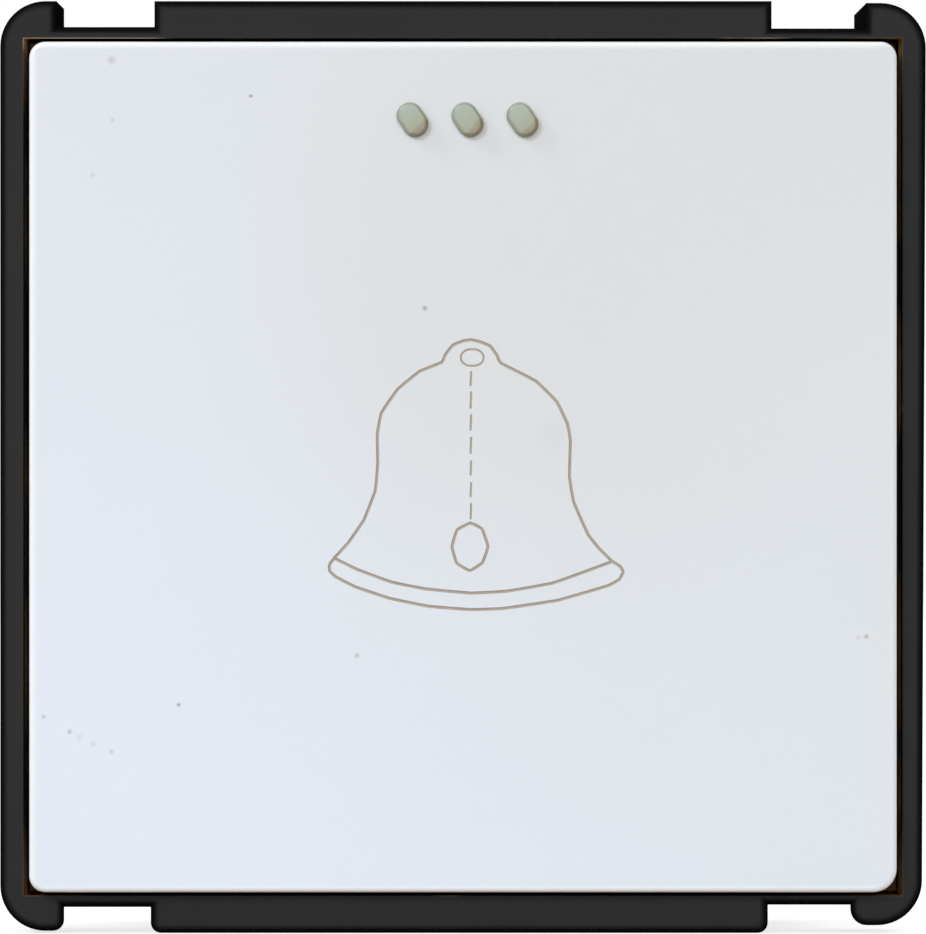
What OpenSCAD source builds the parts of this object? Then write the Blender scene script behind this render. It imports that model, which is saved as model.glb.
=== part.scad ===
// Doorbell push module. A rocking push plate sits in a clip-in frame, and a plunger behind it
// drives a bridge contact across two screw terminals.
// X runs to the right, Y runs back into the wall and Z runs up. The origin is the centre of the
// frame's rear seat.

/* [Frame] */
// Overall width of the frame
frame_w = 45; // [43:0.5:48]
// Overall height of the frame over its clip rails
frame_h = 45.3; // [43.5:0.1:48]
// Depth of the frame from its front face to its rear seat
frame_depth = 9.5; // [9.2:0.1:12]
// Thickness of the left and right walls
frame_side_wall = 1.14; // [0.9:0.02:1.6]
// Thickness of the top and bottom walls over a clip rail
frame_rail = 1.82; // [1.7:0.02:2.4]
// Height of a clip rail above the notch floors beside it
notch_depth = 1.26; // [0.8:0.02:1.3]
// Length of each clip rail
clip_rail_w = 30; // [24:0.5:32]
// Width of each notch between a clip rail and an ear
notch_w = 4.2; // [3:0.1:5]
// Outer corner radius of the ears
frame_corner_r = 2.2; // [1.5:0.1:3]
// Radius of the frame's front edges
frame_edge_r = 0.5; // [0.2:0.05:0.6]
// Chamfer on the inner corners of the top ears
ear_chamfer = 0.5; // [0.2:0.05:0.8]
// Radius on the inner corners of the bottom ears
ear_round_r = 0.6; // [0.2:0.05:0.9]
// Width of the set-back catch on each top ear
catch_w = 0.45; // [0.2:0.05:0.8]
// How far the catch sits behind the frame's front face
catch_set_back = 1.2; // [0.6:0.1:2]
// Width of the groove along each clip rail
groove_w = 2; // [1:0.1:3]
// Depth of the groove along each clip rail
groove_depth = 0.6; // [0.3:0.05:0.8]
// Distance from the frame's front face to the groove
groove_set_back = 4; // [3:0.1:5]
// Thickness of the seat lip inside the frame's rear edge
lip_t = 1.6; // [1.2:0.1:2.4]
// Reach of the seat lip into the opening
lip_w = 3.1; // [2.6:0.1:3.6]
// Depth of the rebate in the lip that takes the rear cover's rim
lip_rebate = 0.4; // [0.2:0.05:0.8]

/* [Push plate] */
// How far the push plate stands in front of the frame
plate_proud = 1; // [0.5:0.1:1.5]
// Thickness of the push plate's front wall
plate_wall = 1.8; // [1.4:0.1:2.2]
// Depth of the push plate's skirt from its front face
plate_skirt = 3.8; // [3:0.1:4.2]
// Thickness of the skirt
skirt_wall = 1.2; // [0.8:0.1:1.6]
// Corner radius of the push plate
plate_corner_r = 0.78; // [0.6:0.02:1.2]
// Radius of the push plate's front edges
plate_edge_r = 0.35; // [0.15:0.05:0.5]
// Height between the upper and lower pairs of plate hooks
plate_hook_pitch = 16; // [12:1:18]
// Width of each plate hook
plate_hook_w = 4; // [3:0.5:6]
// Thickness of each plate hook's arm
plate_hook_t = 1.2; // [0.8:0.1:1.6]
// Reach of each plate hook under the carrier
plate_hook_catch = 0.7; // [0.4:0.1:1]
// Length of each plate hook behind the carrier
plate_hook_nose = 0.8; // [0.5:0.1:1]

/* [Glow studs] */
// Spacing of the three studs
stud_pitch = 2.67; // [2.2:0.01:3.4]
// Sideways offset of the stud row from the plate's middle
stud_shift = 0.2; // [-1:0.1:1]
// Long size of a stud
stud_long = 1.77; // [1.4:0.01:2]
// Short size of a stud
stud_short = 1.19; // [0.9:0.01:1.4]
// Lean of a stud's long side from upright, in degrees
stud_lean = 34; // [0:1:45]
// How far the studs stand in front of the plate
stud_proud = 0.5; // [0.3:0.05:0.6]
// Radius of a stud's domed edge
stud_dome_r = 0.48; // [0.3:0.02:0.5]
// Distance from the plate's top edge down to the stud row
stud_drop = 3.78; // [3.4:0.02:4.5]
// Thickness of the strip that joins the studs
strip_t = 0.9; // [0.7:0.05:1.2]
// Height of the strip
strip_h = 3.4; // [2.6:0.1:4]
// Length of the strip
strip_w = 14; // [13:0.5:16]
// Radius of the two pegs that hold the strip
peg_r = 0.6; // [0.4:0.05:0.8]
// Radius of a peg's flattened head
peg_head_r = 1; // [0.8:0.05:1.3]
// Thickness of a peg's flattened head
peg_head_t = 0.4; // [0.3:0.05:0.6]
// Distance from the strip's end to a peg
peg_inset = 1.5; // [1.2:0.1:1.8]

/* [Pivot and travel] */
// Distance from the plate's top edge down to the pivot axis
pivot_drop = 4.65; // [4.2:0.05:5.5]
// Distance from the plate's front face back to the pivot axis
pivot_depth = 3.8; // [3.6:0.05:4.2]
// Diameter of the two pivot pins
pin_d = 1.6; // [1.2:0.1:1.8]
// Angle that the push plate turns through when pressed, in degrees
press_angle = 2.6; // [1.5:0.1:3]

/* [Key carrier] */
// Depth of the carrier behind the push plate
carrier_t = 2.8; // [2.4:0.1:3]
// Thickness of the carrier's web
carrier_web = 1.2; // [0.9:0.1:1.6]
// Width of the carrier's rim and ribs
carrier_rim = 1.6; // [1.2:0.1:2.2]
// Gap from the skirt to the carrier at each side
carrier_side_gap = 3.3; // [2.8:0.1:4]
// Gap from the skirt to the carrier at top and bottom
carrier_end_gap = 1.1; // [0.6:0.1:2]
// Width of each pivot boss on the carrier
boss_w = 2.2; // [1.6:0.1:3]
// Height of the nose that presses the plunger
nose_h = 1; // [0.6:0.1:1.4]
// Difference between the nose's tip or root and the plunger's radius
nose_taper = 0.4; // [0.2:0.1:0.6]
// Carrier material around the nose, the spring seats and the stop pads
carrier_margin = 0.6; // [0.4:0.1:1]
// Height of the pegs that centre the return springs
spring_peg_h = 1.5; // [1:0.1:2]
// Distance from the middle to each stop hook
stop_hook_x = 6; // [5:0.5:7]
// Width of each stop hook
stop_hook_w = 3; // [2:0.5:4]
// Thickness of each stop hook
stop_hook_t = 1.4; // [1:0.1:1.6]
// Reach of each stop hook behind the deck
stop_hook_catch = 1.1; // [0.8:0.1:1.4]
// Length of each stop hook's nose
stop_hook_nose = 1; // [0.7:0.1:1.4]
// Room above each stop hook in its slot, which it needs as the key tilts
stop_hook_room = 0.5; // [0.4:0.05:0.7]
// Room under each stop hook to the base's lower wall
stop_hook_floor = 0.5; // [0.4:0.05:0.8]

/* [Switch base] */
// Thickness of the base's deck
deck_t = 1.8; // [1.4:0.1:2.2]
// Depth of the base's spigot behind the lip's front face
spigot_depth = 7.6; // [7:0.1:9]
// Thickness of the spigot's walls
base_wall = 1.6; // [1.2:0.1:2]
// Thickness of each bearing lug
lug_w = 1.8; // [1.4:0.1:2.4]
// Wall of a bearing lug around its pin
lug_wall = 0.8; // [0.6:0.05:0.9]
// Distance from the carrier's side in to a bearing lug
lug_inset = 1.8; // [1.2:0.1:2.4]
// Room around a bearing lug in the carrier
lug_room = 0.7; // [0.4:0.1:1]
// Radius of each rubber stop pad
pad_r = 2; // [1.5:0.1:2.5]
// Distance from the middle to each stop pad
pad_x = 11.5; // [10:0.5:12]
// Height of the stop pads above the carrier's lower edge
pad_rise = 4.85; // [4.2:0.05:6]
// Depth of the recess that holds each stop pad
pad_recess = 0.4; // [0.2:0.1:0.8]

/* [Contacts] */
// Height of the plunger and contacts above the foot of the terminal blocks
contact_rise = 7.63; // [7.4:0.01:8.6]
// Diameter of the plunger's stem
plunger_d = 4; // [3:0.25:4.5]
// Diameter of the plunger's shoulder
shoulder_d = 7.2; // [6:0.2:7.6]
// Thickness of the plunger's shoulder
shoulder_t = 1.4; // [1:0.1:2]
// Diameter of the plunger's tail
tail_d = 3; // [2:0.1:3.2]
// Length of the plunger's tail behind the bridge
tail_len = 4.4; // [3:0.1:6]
// Chamfer on the plunger's tip
tip_chamfer = 0.4; // [0.2:0.05:0.6]
// Length of the guide behind the deck
guide_len = 2.2; // [1.6:0.1:3]
// Wall of the guide around the plunger
guide_wall = 1.5; // [1:0.1:2]
// Distance from the middle to each contact
contact_x = 5.4; // [5:0.1:6]
// Thickness of the bridge and the fixed contact strips
strip_metal_t = 0.8; // [0.5:0.05:1]
// Width of the bridge and the fixed contact strips
strip_metal_w = 5; // [4:0.25:5.5]
// Radius of a silver contact's head
rivet_r = 1.5; // [1:0.1:1.8]
// Height of a silver contact's head
rivet_h = 0.7; // [0.4:0.05:1]
// Radius of a silver contact's shank
rivet_shank_r = 0.7; // [0.5:0.05:0.9]
// Metal left around a silver contact and at a strip's end
strip_margin = 0.5; // [0.3:0.05:0.7]
// Gap between the end of the bridge and a contact post
post_gap = 0.6; // [0.4:0.1:1]

/* [Terminals] */
// Gap between a terminal block and the cover's corner column
block_side_gap = 0.76; // [0.4:0.02:1.2]
// Width of a terminal block
block_w = 7; // [6:0.1:7.4]
// Depth of a terminal block
block_depth = 8; // [7:0.1:9]
// Height of a terminal block
block_h = 9; // [8:0.1:10]
// Radius of the wire hole
wire_r = 1.5; // [1.2:0.05:1.8]
// Distance from the block's front face to the wire hole's axis
wire_set_back = 3.2; // [2.8:0.1:3.6]
// Diameter of a terminal screw
clamp_screw_d = 3; // [2.5:0.1:3.5]
// Diameter of a terminal screw's head
clamp_head_d = 5.2; // [4.6:0.1:5.4]
// Height of a terminal screw's head
clamp_head_h = 1.8; // [1.4:0.1:2.2]
// Gap left under a terminal screw's head when it is open
clamp_open = 0.9; // [0.4:0.1:1.2]
// Width of a terminal screw's slot
clamp_slot_w = 0.8; // [0.5:0.1:1]

/* [Rear cover and lid] */
// Depth of the rear cover and its lid behind the seat
cover_depth = 20; // [19:0.25:24]
// Thickness of the cover's side walls
cover_wall = 1.5; // [1.2:0.1:1.8]
// Thickness of the rear lid
lid_t = 1.8; // [1.4:0.1:2.4]
// Depth of the lid's corner bosses inside the cover
lid_boss_depth = 2.4; // [1.8:0.1:3]
// Corner radius of the cover and the lid
cover_corner_r = 1.6; // [1:0.1:2.5]
// Radius of the lid's rear edges
cover_edge_r = 0.8; // [0.3:0.1:1.2]
// Radius of a screwdriver well
well_r = 3; // [2.8:0.05:3.2]
// Wall of a screwdriver well
well_wall = 1; // [0.8:0.1:1.2]
// Distance from the cover's inner corner to a case screw's axis
case_screw_inset = 2.3; // [2.1:0.05:2.5]
// Diameter of a case screw
case_screw_d = 2.2; // [1.8:0.1:2.6]
// Length of a case screw under its head
case_screw_len = 16; // [14:0.5:18]
// Diameter of a case screw's head
case_head_d = 4; // [3.4:0.1:4.2]
// Height of a case screw's head
case_head_h = 1.6; // [1.2:0.1:2]
// Depth that a case screw's head lies below the lid's rear face
case_head_sink = 0.6; // [0.2:0.1:1]
// Width of the cross slots in a case screw's head
cross_slot_w = 0.6; // [0.4:0.1:0.8]
// Length of the cross slots in a case screw's head
cross_slot_len = 2.8; // [2:0.1:3.2]
// Depth of the cross slots in a case screw's head
cross_slot_depth = 1; // [0.6:0.1:1.2]
// Depth of the moulding relief in the lid's rear face
relief_depth = 0.6; // [0.3:0.1:0.8]

/* [Springs] */
// Wire diameter of the two return springs
return_wire_d = 0.45; // [0.3:0.05:0.6]
// Mean radius of the return springs
return_mean_r = 2.1; // [1.8:0.05:2.4]
// Turns in each return spring
return_turns = 6; // [4:1:7]
// Distance from the carrier's side in to each return spring
return_inset = 7.06; // [6.4:0.02:8]
// Gap between a return spring's well and the contact bridge under it
well_bridge_gap = 1.875; // [0.5:0.025:2.5]
// Depth of each return spring's well behind the deck's front face
return_well = 5.6; // [5:0.1:6.5]
// Wire diameter of the plunger spring
plunger_wire_d = 0.5; // [0.3:0.05:0.6]
// Mean radius of the plunger spring
plunger_mean_r = 2.2; // [2:0.05:2.4]
// Turns in the plunger spring
plunger_turns = 8; // [5:1:9]
// Depth of the recess in the plunger spring's cup
cup_recess = 2; // [1:0.25:3]
// Wall of the plunger spring's cup
cup_wall = 1.4; // [1:0.1:1.8]
// Wall of each return spring's well
return_wall = 1; // [0.8:0.1:1.2]
// Room between a spring and the well or peg beside it
spring_room = 0.3; // [0.2:0.05:0.4]

/* [Clearances] */
// Gap between the push plate and the frame at each side
key_gap_side = 0.3; // [0.2:0.02:0.5]
// Gap between the push plate and the frame at top and bottom
key_gap_end = 0.18; // [0.16:0.01:0.4]
// Gap between pieces that slip together
fit_gap = 0.1; // [0.05:0.01:0.15]
// Radial clearance of a pin in its running bore
pin_clear = 0.05; // [0.02:0.01:0.1]
// Gap between pieces that touch only when pressed
touch_gap = 0.08; // [0.05:0.01:0.15]

/* [Hidden] */
$fn = 48;

// Length by which a cutter passes the face that it opens
overcut = 1;
// Length by which rails and ears reach inwards before the opening is cut
root_overlap = 2;

// The opening and the push plate in it
opening_w = frame_w - 2 * frame_side_wall;
opening_h = frame_h - 2 * frame_rail;
plate_w = opening_w - 2 * key_gap_side;
plate_h = opening_h - 2 * key_gap_end;
frame_y = -frame_depth;
plate_y = frame_y - plate_proud;
plate_back_y = plate_y + plate_wall;
skirt_y = plate_y + plate_skirt;
ear_x = clip_rail_w / 2 + notch_w;

// The pivot, and how far a point at height z moves back at full press
pivot_y = plate_y + pivot_depth;
pivot_z = plate_h / 2 - pivot_drop;
pin_r = pin_d / 2;
function travel(z) = (pivot_z - z) * sin(press_angle);

// The carrier behind the push plate
carrier_w = plate_w - 2 * (skirt_wall + carrier_side_gap);
carrier_h = plate_h - 2 * (skirt_wall + carrier_end_gap);
carrier_y = plate_back_y + carrier_t;
boss_r = pin_r + pin_clear + lug_wall;
lug_r = pin_r + lug_wall;
lug_x1 = carrier_w / 2 - lug_inset;
lug_x0 = lug_x1 - lug_w;
boss_x1 = lug_x0 - 2 * fit_gap;
boss_x0 = boss_x1 - boss_w;

// The stud row on the plate
stud_z = plate_h / 2 - stud_drop;
strip_y = plate_back_y + strip_t;
peg_x = strip_w / 2 - peg_inset;

// The base: deck behind the carrier, and spigot through the frame's lip
lip_y = -lip_t;
deck_y = lip_y - deck_t;
lip_hole_w = opening_w - 2 * lip_w;
lip_hole_h = opening_h - 2 * lip_w;
spigot_w = lip_hole_w - 2 * fit_gap;
spigot_h = lip_hole_h - 2 * fit_gap;
spigot_y = lip_y + spigot_depth;
cavity_w = spigot_w - 2 * base_wall;
cavity_h = spigot_h - 2 * base_wall;

// The stop hooks, which pass through slots in the deck and catch behind it
hook_z0 = -cavity_h / 2 + stop_hook_floor;
hook_z1 = hook_z0 + stop_hook_t;
pad_z = -carrier_h / 2 + pad_rise;

// The plunger and its contacts, from front to back
block_z0 = -lip_hole_h / 2 + fit_gap;
plunger_z = block_z0 + contact_rise;
plunger_r = plunger_d / 2;
tail_r = tail_d / 2;
nose_y = carrier_y + nose_h;
plunger_y = nose_y + touch_gap;
shoulder_y = lip_y + guide_len + touch_gap;
bridge_y = shoulder_y + shoulder_t;
bridge_back_y = bridge_y + strip_metal_t;
moving_face_y = bridge_back_y + rivet_h;
fixed_face_y = moving_face_y + travel(plunger_z) + touch_gap;
fixed_y = fixed_face_y + rivet_h;
block_y = fixed_y + strip_metal_t;
tail_y = bridge_back_y + tail_len;
bridge_w = 2 * (contact_x + rivet_r + strip_margin);

// The terminals, whose blocks stand on the cover's lower wall
block_back_y = block_y + block_depth;
clamp_z = block_z0 + block_h / 2;
wire_y = block_y + wire_set_back;
clamp_r = clamp_screw_d / 2;
clamp_tip_y = wire_y + wire_r + fit_gap;
clamp_head_y = block_back_y + clamp_open;
case_x = lip_hole_w / 2 - case_screw_inset;
case_z = lip_hole_h / 2 - case_screw_inset;
column_r = case_screw_inset - fit_gap;
terminal_x = case_x - column_r - block_side_gap - block_w / 2;
strip_inner_x = contact_x - rivet_r - strip_margin;
strip_outer_x = terminal_x + block_w / 2 - strip_margin;

// The rear cover round the spigot, and the lid behind it
cover_w = lip_hole_w + 2 * cover_wall;
cover_h = lip_hole_h + 2 * cover_wall;
lid_y = cover_depth - lid_t;
lid_boss_y = lid_y - lid_boss_depth;
case_head_y = cover_depth - case_head_sink - case_head_h;
well_y = block_back_y + fit_gap;
cup_floor_y = well_y + cup_recess;
cup_r = plunger_mean_r + plunger_wire_d + cup_wall;

// The return springs in their wells
return_floor_y = deck_y + return_well;
return_bore_r = return_mean_r + return_wire_d / 2 + spring_room;
return_peg_r = return_mean_r - return_wire_d / 2 - spring_room;
return_well_r = return_bore_r + return_wall;
return_x = carrier_w / 2 - return_inset;
return_z = plunger_z + strip_metal_w / 2 + well_bridge_gap + return_well_r;

// A quarter circle of points about a centre, from an angle onwards, finer on a wide corner
function corner_arc(x, z, r, from) =
    [for (a = [from : r < 1 ? 15 : 7.5 : from + 90]) [x + r * cos(a), z + r * sin(a)]];

// A rectangle with round corners, as a list of points
function round_rect(w, h, r) = concat(
    corner_arc(w / 2 - r, h / 2 - r, r, 0),
    corner_arc(r - w / 2, h / 2 - r, r, 90),
    corner_arc(r - w / 2, r - h / 2, r, 180),
    corner_arc(w / 2 - r, r - h / 2, r, 270)
);

// Extrudes a shape drawn in X and Z from depth y0 to depth y1
module slab(y0, y1) {
    translate([0, y1, 0]) rotate([90, 0, 0]) linear_extrude(y1 - y0) children();
}

// Extrudes a shape drawn in Y and Z from x0 to x1
module slice(x0, x1) {
    translate([x0, 0, 0]) rotate([90, 0, 90]) linear_extrude(x1 - x0) children();
}

// A slab whose front and rear edges are rounded
module soft_slab(y0, y1, front_r = 0, rear_r = 0) {
    hull() {
        slab(y0 + front_r, y1 - rear_r) children();
        if (front_r > 0) for (a = [30 : 30 : 90])
            slab(y0 + front_r * (1 - sin(a)), y0 + front_r)
                offset(delta = -front_r * (1 - cos(a))) children();
        if (rear_r > 0) for (a = [30 : 30 : 90])
            slab(y1 - rear_r, y1 - rear_r * (1 - sin(a)))
                offset(delta = -rear_r * (1 - cos(a))) children();
    }
}

// A round rod along Y
module rod(r, y0, y1) {
    translate([0, y0, 0]) rotate([-90, 0, 0]) cylinder(r = r, h = y1 - y0);
}

// A box between two corners
module box(low, high) {
    translate(low) cube(high - low);
}

// A box centred on the Y axis
module window(w, h, y0, y1) {
    box([-w / 2, y0, -h / 2], [w / 2, y1, h / 2]);
}

module at(x, z) {
    translate([x, 0, z]) children();
}

// Two copies, mirrored left to right
module both_sides() {
    children();
    mirror([1, 0, 0]) children();
}

// Two copies, mirrored top to bottom
module both_ends() {
    children();
    mirror([0, 0, 1]) children();
}

module four_corners(x, z) {
    both_sides() both_ends() at(x, z) children();
}

// A coil spring along Y as one swept tube
coil_sides = 6;
rings_per_turn = 12;
function coil_centre(mean_r, y0, y1, turns, i) =
    let (share = i / (turns * rings_per_turn), a = 360 * turns * share)
    [mean_r * cos(a), y0 + (y1 - y0) * share, mean_r * sin(a)];
function coil_ring(mean_r, wire_r, y0, y1, turns, i) =
    let (
        a = 360 * i / rings_per_turn,
        rise = (y1 - y0) / turns / (2 * PI * mean_r),
        out = [cos(a), 0, sin(a)],
        along = [-sin(a), rise, cos(a)] / sqrt(1 + rise * rise),
        across = cross(along, out),
        centre = coil_centre(mean_r, y0, y1, turns, i)
    )
    [for (k = [0 : coil_sides - 1])
        centre + wire_r * (out * cos(360 * k / coil_sides) + across * sin(360 * k / coil_sides))];
function coil_gap(wire_d, y0, y1, turns) = (y1 - y0) / turns - wire_d;

module coil(mean_r, wire_d, y0, y1, turns) {
    last = turns * rings_per_turn;
    points = [for (i = [0 : last]) each coil_ring(mean_r, wire_d / 2, y0, y1, turns, i)];
    sides = [
        for (i = [0 : last - 1], k = [0 : coil_sides - 1])
            let (
                a = i * coil_sides + k,
                b = i * coil_sides + (k + 1) % coil_sides,
                c = b + coil_sides,
                d = a + coil_sides
            )
            each [[a, c, b], [a, d, c]]
    ];
    first_end = [for (k = [1 : coil_sides - 2]) [0, k, k + 1]];
    last_end = [
        for (k = [1 : coil_sides - 2])
            [last * coil_sides, last * coil_sides + k + 1, last * coil_sides + k]
    ];
    polyhedron(points = points, faces = concat(sides, first_end, last_end), convexity = 8);
}

// Frame: a ring with a clip rail at top and bottom, an ear at each corner and a seat lip inside
module ear(inner_corner) {
    root_z = opening_h / 2 - root_overlap;
    soft_slab(frame_y, 0, frame_edge_r) polygon(concat(
        [[frame_w / 2, root_z]],
        corner_arc(frame_w / 2 - frame_corner_r, frame_h / 2 - frame_corner_r, frame_corner_r, 0),
        inner_corner,
        [[ear_x, root_z]]
    ));
}

module clip_rail() {
    root = frame_rail + root_overlap;
    at(0, frame_h / 2 - root / 2)
        soft_slab(frame_y, 0, frame_edge_r) square([clip_rail_w, root], center = true);
}

module mounting_frame() {
    chamfered = [[ear_x + ear_chamfer, frame_h / 2], [ear_x, frame_h / 2 - ear_chamfer]];
    rounded = corner_arc(ear_x + ear_round_r, frame_h / 2 - ear_round_r, ear_round_r, 90);
    notch_z = frame_h / 2 - notch_depth;
    color("#323232") difference() {
        union() {
            soft_slab(frame_y, 0, frame_edge_r)
                polygon(round_rect(frame_w, 2 * notch_z, frame_corner_r));
            both_ends() clip_rail();
            both_sides() ear(chamfered);
            mirror([0, 0, 1]) both_sides() ear(rounded);
        }
        window(opening_w, opening_h, frame_y - overcut, lip_y);
        window(lip_hole_w, lip_hole_h, lip_y - overcut, overcut);
        window(cover_w + 2 * fit_gap, cover_h + 2 * fit_gap, -lip_rebate, overcut);
        both_ends() box(
            [-clip_rail_w / 2 - overcut, frame_y + groove_set_back, frame_h / 2 - groove_depth],
            [clip_rail_w / 2 + overcut, frame_y + groove_set_back + groove_w, frame_h / 2 + overcut]
        );
        both_sides() box(
            [ear_x - overcut, frame_y - overcut, notch_z],
            [ear_x + catch_w, frame_y + catch_set_back, frame_h / 2 + overcut]
        );
    }
}

// Push plate: a shallow cap with holes for the studs, two pegs for their strip and four hooks
module plate_hook() {
    inner = carrier_w / 2 + fit_gap;
    catch_y = carrier_y + fit_gap / 2;
    slab_z = plate_hook_w / 2;
    translate([0, 0, -slab_z]) linear_extrude(plate_hook_w) polygon([
        [inner, plate_back_y - fit_gap],
        [inner, catch_y],
        [inner - plate_hook_catch, catch_y],
        [inner, catch_y + plate_hook_nose],
        [inner + plate_hook_t, catch_y + plate_hook_nose],
        [inner + plate_hook_t, plate_back_y - fit_gap]
    ]);
}

module stud_outline(grow = 0) {
    reach = (stud_long - stud_short) / 2;
    r = stud_short / 2 + grow;
    rotate(stud_lean) polygon(concat(
        [for (a = [0 : 15 : 180]) [r * cos(a), reach + r * sin(a)]],
        [for (a = [180 : 15 : 360]) [r * cos(a), r * sin(a) - reach]]
    ));
}

module at_studs() {
    for (i = [-1 : 1]) at(stud_shift + i * stud_pitch, stud_z) children();
}

module push_plate() {
    peg_y = strip_y + fit_gap;
    color("#e3e8ee") {
        difference() {
            soft_slab(plate_y, skirt_y, plate_edge_r)
                polygon(round_rect(plate_w, plate_h, plate_corner_r));
            window(
                plate_w - 2 * skirt_wall, plate_h - 2 * skirt_wall, plate_back_y, skirt_y + overcut
            );
            at_studs() slab(plate_y - overcut, plate_back_y + overcut) stud_outline(fit_gap / 2);
        }
        for (s = [-1, 1]) at(stud_shift + s * peg_x, stud_z) {
            rod(peg_r, plate_back_y - fit_gap, peg_y + peg_head_t);
            rod(peg_head_r, peg_y, peg_y + peg_head_t);
        }
        both_sides() both_ends() at(0, plate_hook_pitch / 2) plate_hook();
    }
}

// Glow strip: three domed studs on one moulded strip behind the plate
module glow_strip() {
    color("#aeb8a8") difference() {
        union() {
            at(stud_shift, stud_z) slab(plate_back_y, strip_y)
                square([strip_w, strip_h], center = true);
            at_studs() soft_slab(plate_y - stud_proud, plate_back_y + strip_t / 2, stud_dome_r)
                stud_outline();
        }
        for (s = [-1, 1]) at(stud_shift + s * peg_x, stud_z)
            rod(peg_r + fit_gap / 2, plate_back_y - overcut, strip_y + overcut);
    }
}

// Key carrier: a ribbed cradle that hangs from the pivot pins and carries the push plate
module stop_hook() {
    hook_y = lip_y + fit_gap;
    slice(-stop_hook_w / 2, stop_hook_w / 2) polygon([
        [carrier_y - fit_gap, hook_z0],
        [hook_y + stop_hook_nose, hook_z0],
        [hook_y + stop_hook_nose, hook_z1],
        [hook_y, hook_z1 + stop_hook_catch],
        [hook_y, hook_z1],
        [carrier_y - fit_gap, hook_z1]
    ]);
}

module carrier_web_and_ribs() {
    inner_w = carrier_w - 2 * carrier_rim;
    inner_h = carrier_h - 2 * carrier_rim;
    difference() {
        window(carrier_w, carrier_h, plate_back_y, carrier_y);
        window(inner_w, inner_h, plate_back_y + carrier_web, carrier_y + overcut);
    }
    for (s = [-1, 1]) at(s * inner_w / 6, 0)
        window(carrier_rim, inner_h + fit_gap, plate_back_y, carrier_y);
    for (s = [-1, 1]) at(0, s * inner_h / 6)
        window(inner_w + fit_gap, carrier_rim, plate_back_y, carrier_y);
}

module key_carrier() {
    top_z = carrier_h / 2;
    strip_room = strip_w / 2 + abs(stud_shift) + 2 * fit_gap;
    shoulder_z = pivot_z - boss_r - fit_gap;
    color("#3a3c3f") difference() {
        union() {
            carrier_web_and_ribs();
            both_sides() translate([boss_x0, pivot_y, pivot_z])
                rotate([0, 90, 0]) cylinder(r = boss_r, h = boss_w);
            both_sides() box(
                [boss_x0, plate_back_y, shoulder_z - carrier_rim], [boss_x1, carrier_y, top_z]
            );
            both_sides() at(return_x, return_z) {
                rod(return_mean_r + carrier_margin, plate_back_y, carrier_y);
                rod(return_peg_r, plate_back_y, carrier_y + spring_peg_h);
            }
            both_sides() at(pad_x, pad_z) rod(pad_r + carrier_margin, plate_back_y, carrier_y);
            at(0, plunger_z) {
                rod(plunger_r + nose_taper + carrier_margin, plate_back_y, carrier_y);
                translate([0, carrier_y, 0]) rotate([-90, 0, 0])
                    cylinder(r1 = plunger_r + nose_taper, r2 = plunger_r - nose_taper, h = nose_h);
            }
            both_sides() box(
                [stop_hook_x - stop_hook_w / 2, plate_back_y, -carrier_h / 2],
                [stop_hook_x + stop_hook_w / 2, carrier_y, hook_z1]
            );
            both_sides() at(stop_hook_x, 0) stop_hook();
        }
        both_sides() box(
            [boss_x1, plate_back_y - overcut, pivot_z - lug_r - lug_room],
            [carrier_w / 2 + overcut, carrier_y + overcut, top_z + overcut]
        );
        box(
            [-strip_room, plate_back_y - overcut, stud_z - strip_h / 2 - 2 * fit_gap],
            [strip_room, carrier_y + overcut, top_z + overcut]
        );
        both_sides() translate([boss_x0 - overcut, pivot_y, pivot_z])
            rotate([0, 90, 0]) cylinder(r = pin_r + pin_clear, h = boss_w + 2 * overcut);
    }
}

// Hinge pins: two short steel pins held in the base's lugs
module hinge_pins() {
    color("#b9bcc0") both_sides() translate([boss_x0 + fit_gap, pivot_y, pivot_z])
        rotate([0, 90, 0]) cylinder(r = pin_r, h = lug_x1 - boss_x0 - fit_gap);
}

// Switch base: a deck in front of the frame's lip and a walled spigot through it
module bearing_lug() {
    slice(lug_x0, lug_x1) difference() {
        union() {
            translate([pivot_y, pivot_z - lug_r]) square([lip_y - pivot_y - deck_t / 2, 2 * lug_r]);
            translate([pivot_y, pivot_z]) circle(r = lug_r);
        }
        translate([pivot_y, pivot_z]) circle(r = pin_r + fit_gap / 10);
    }
}

module contact_post() {
    box(
        [bridge_w / 2 + post_gap, lip_y - fit_gap, plunger_z - strip_metal_w / 2],
        [strip_outer_x, fixed_y, plunger_z + strip_metal_w / 2]
    );
}

module switch_base() {
    color("#3b2415") difference() {
        union() {
            window(opening_w - 2 * fit_gap, opening_h - 2 * fit_gap, deck_y, lip_y);
            difference() {
                window(spigot_w, spigot_h, lip_y - deck_t / 2, spigot_y);
                window(cavity_w, cavity_h, lip_y, spigot_y + overcut);
            }
            four_corners(case_x, case_z) rod(column_r, lip_y - fit_gap, spigot_y);
            at(0, plunger_z) rod(plunger_r + fit_gap + guide_wall, lip_y - fit_gap, lip_y + guide_len);
            both_sides() at(return_x, return_z)
                rod(return_well_r, lip_y - fit_gap, return_floor_y + return_wall);
            both_sides() contact_post();
            both_sides() bearing_lug();
        }
        at(0, plunger_z) rod(plunger_r + fit_gap, deck_y - overcut, lip_y + guide_len + overcut);
        both_sides() at(return_x, return_z) rod(return_bore_r, deck_y - overcut, return_floor_y);
        both_sides() at(pad_x, pad_z) rod(pad_r + fit_gap, deck_y - overcut, deck_y + pad_recess);
        both_sides() box(
            [stop_hook_x - stop_hook_w / 2 - 3 * fit_gap, deck_y - overcut, hook_z0 - 3 * fit_gap],
            [stop_hook_x + stop_hook_w / 2 + 3 * fit_gap, lip_y + overcut, hook_z1 + stop_hook_room]
        );
        four_corners(case_x, case_z) rod(case_screw_d / 2, lip_y, spigot_y + overcut);
    }
}

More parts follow.
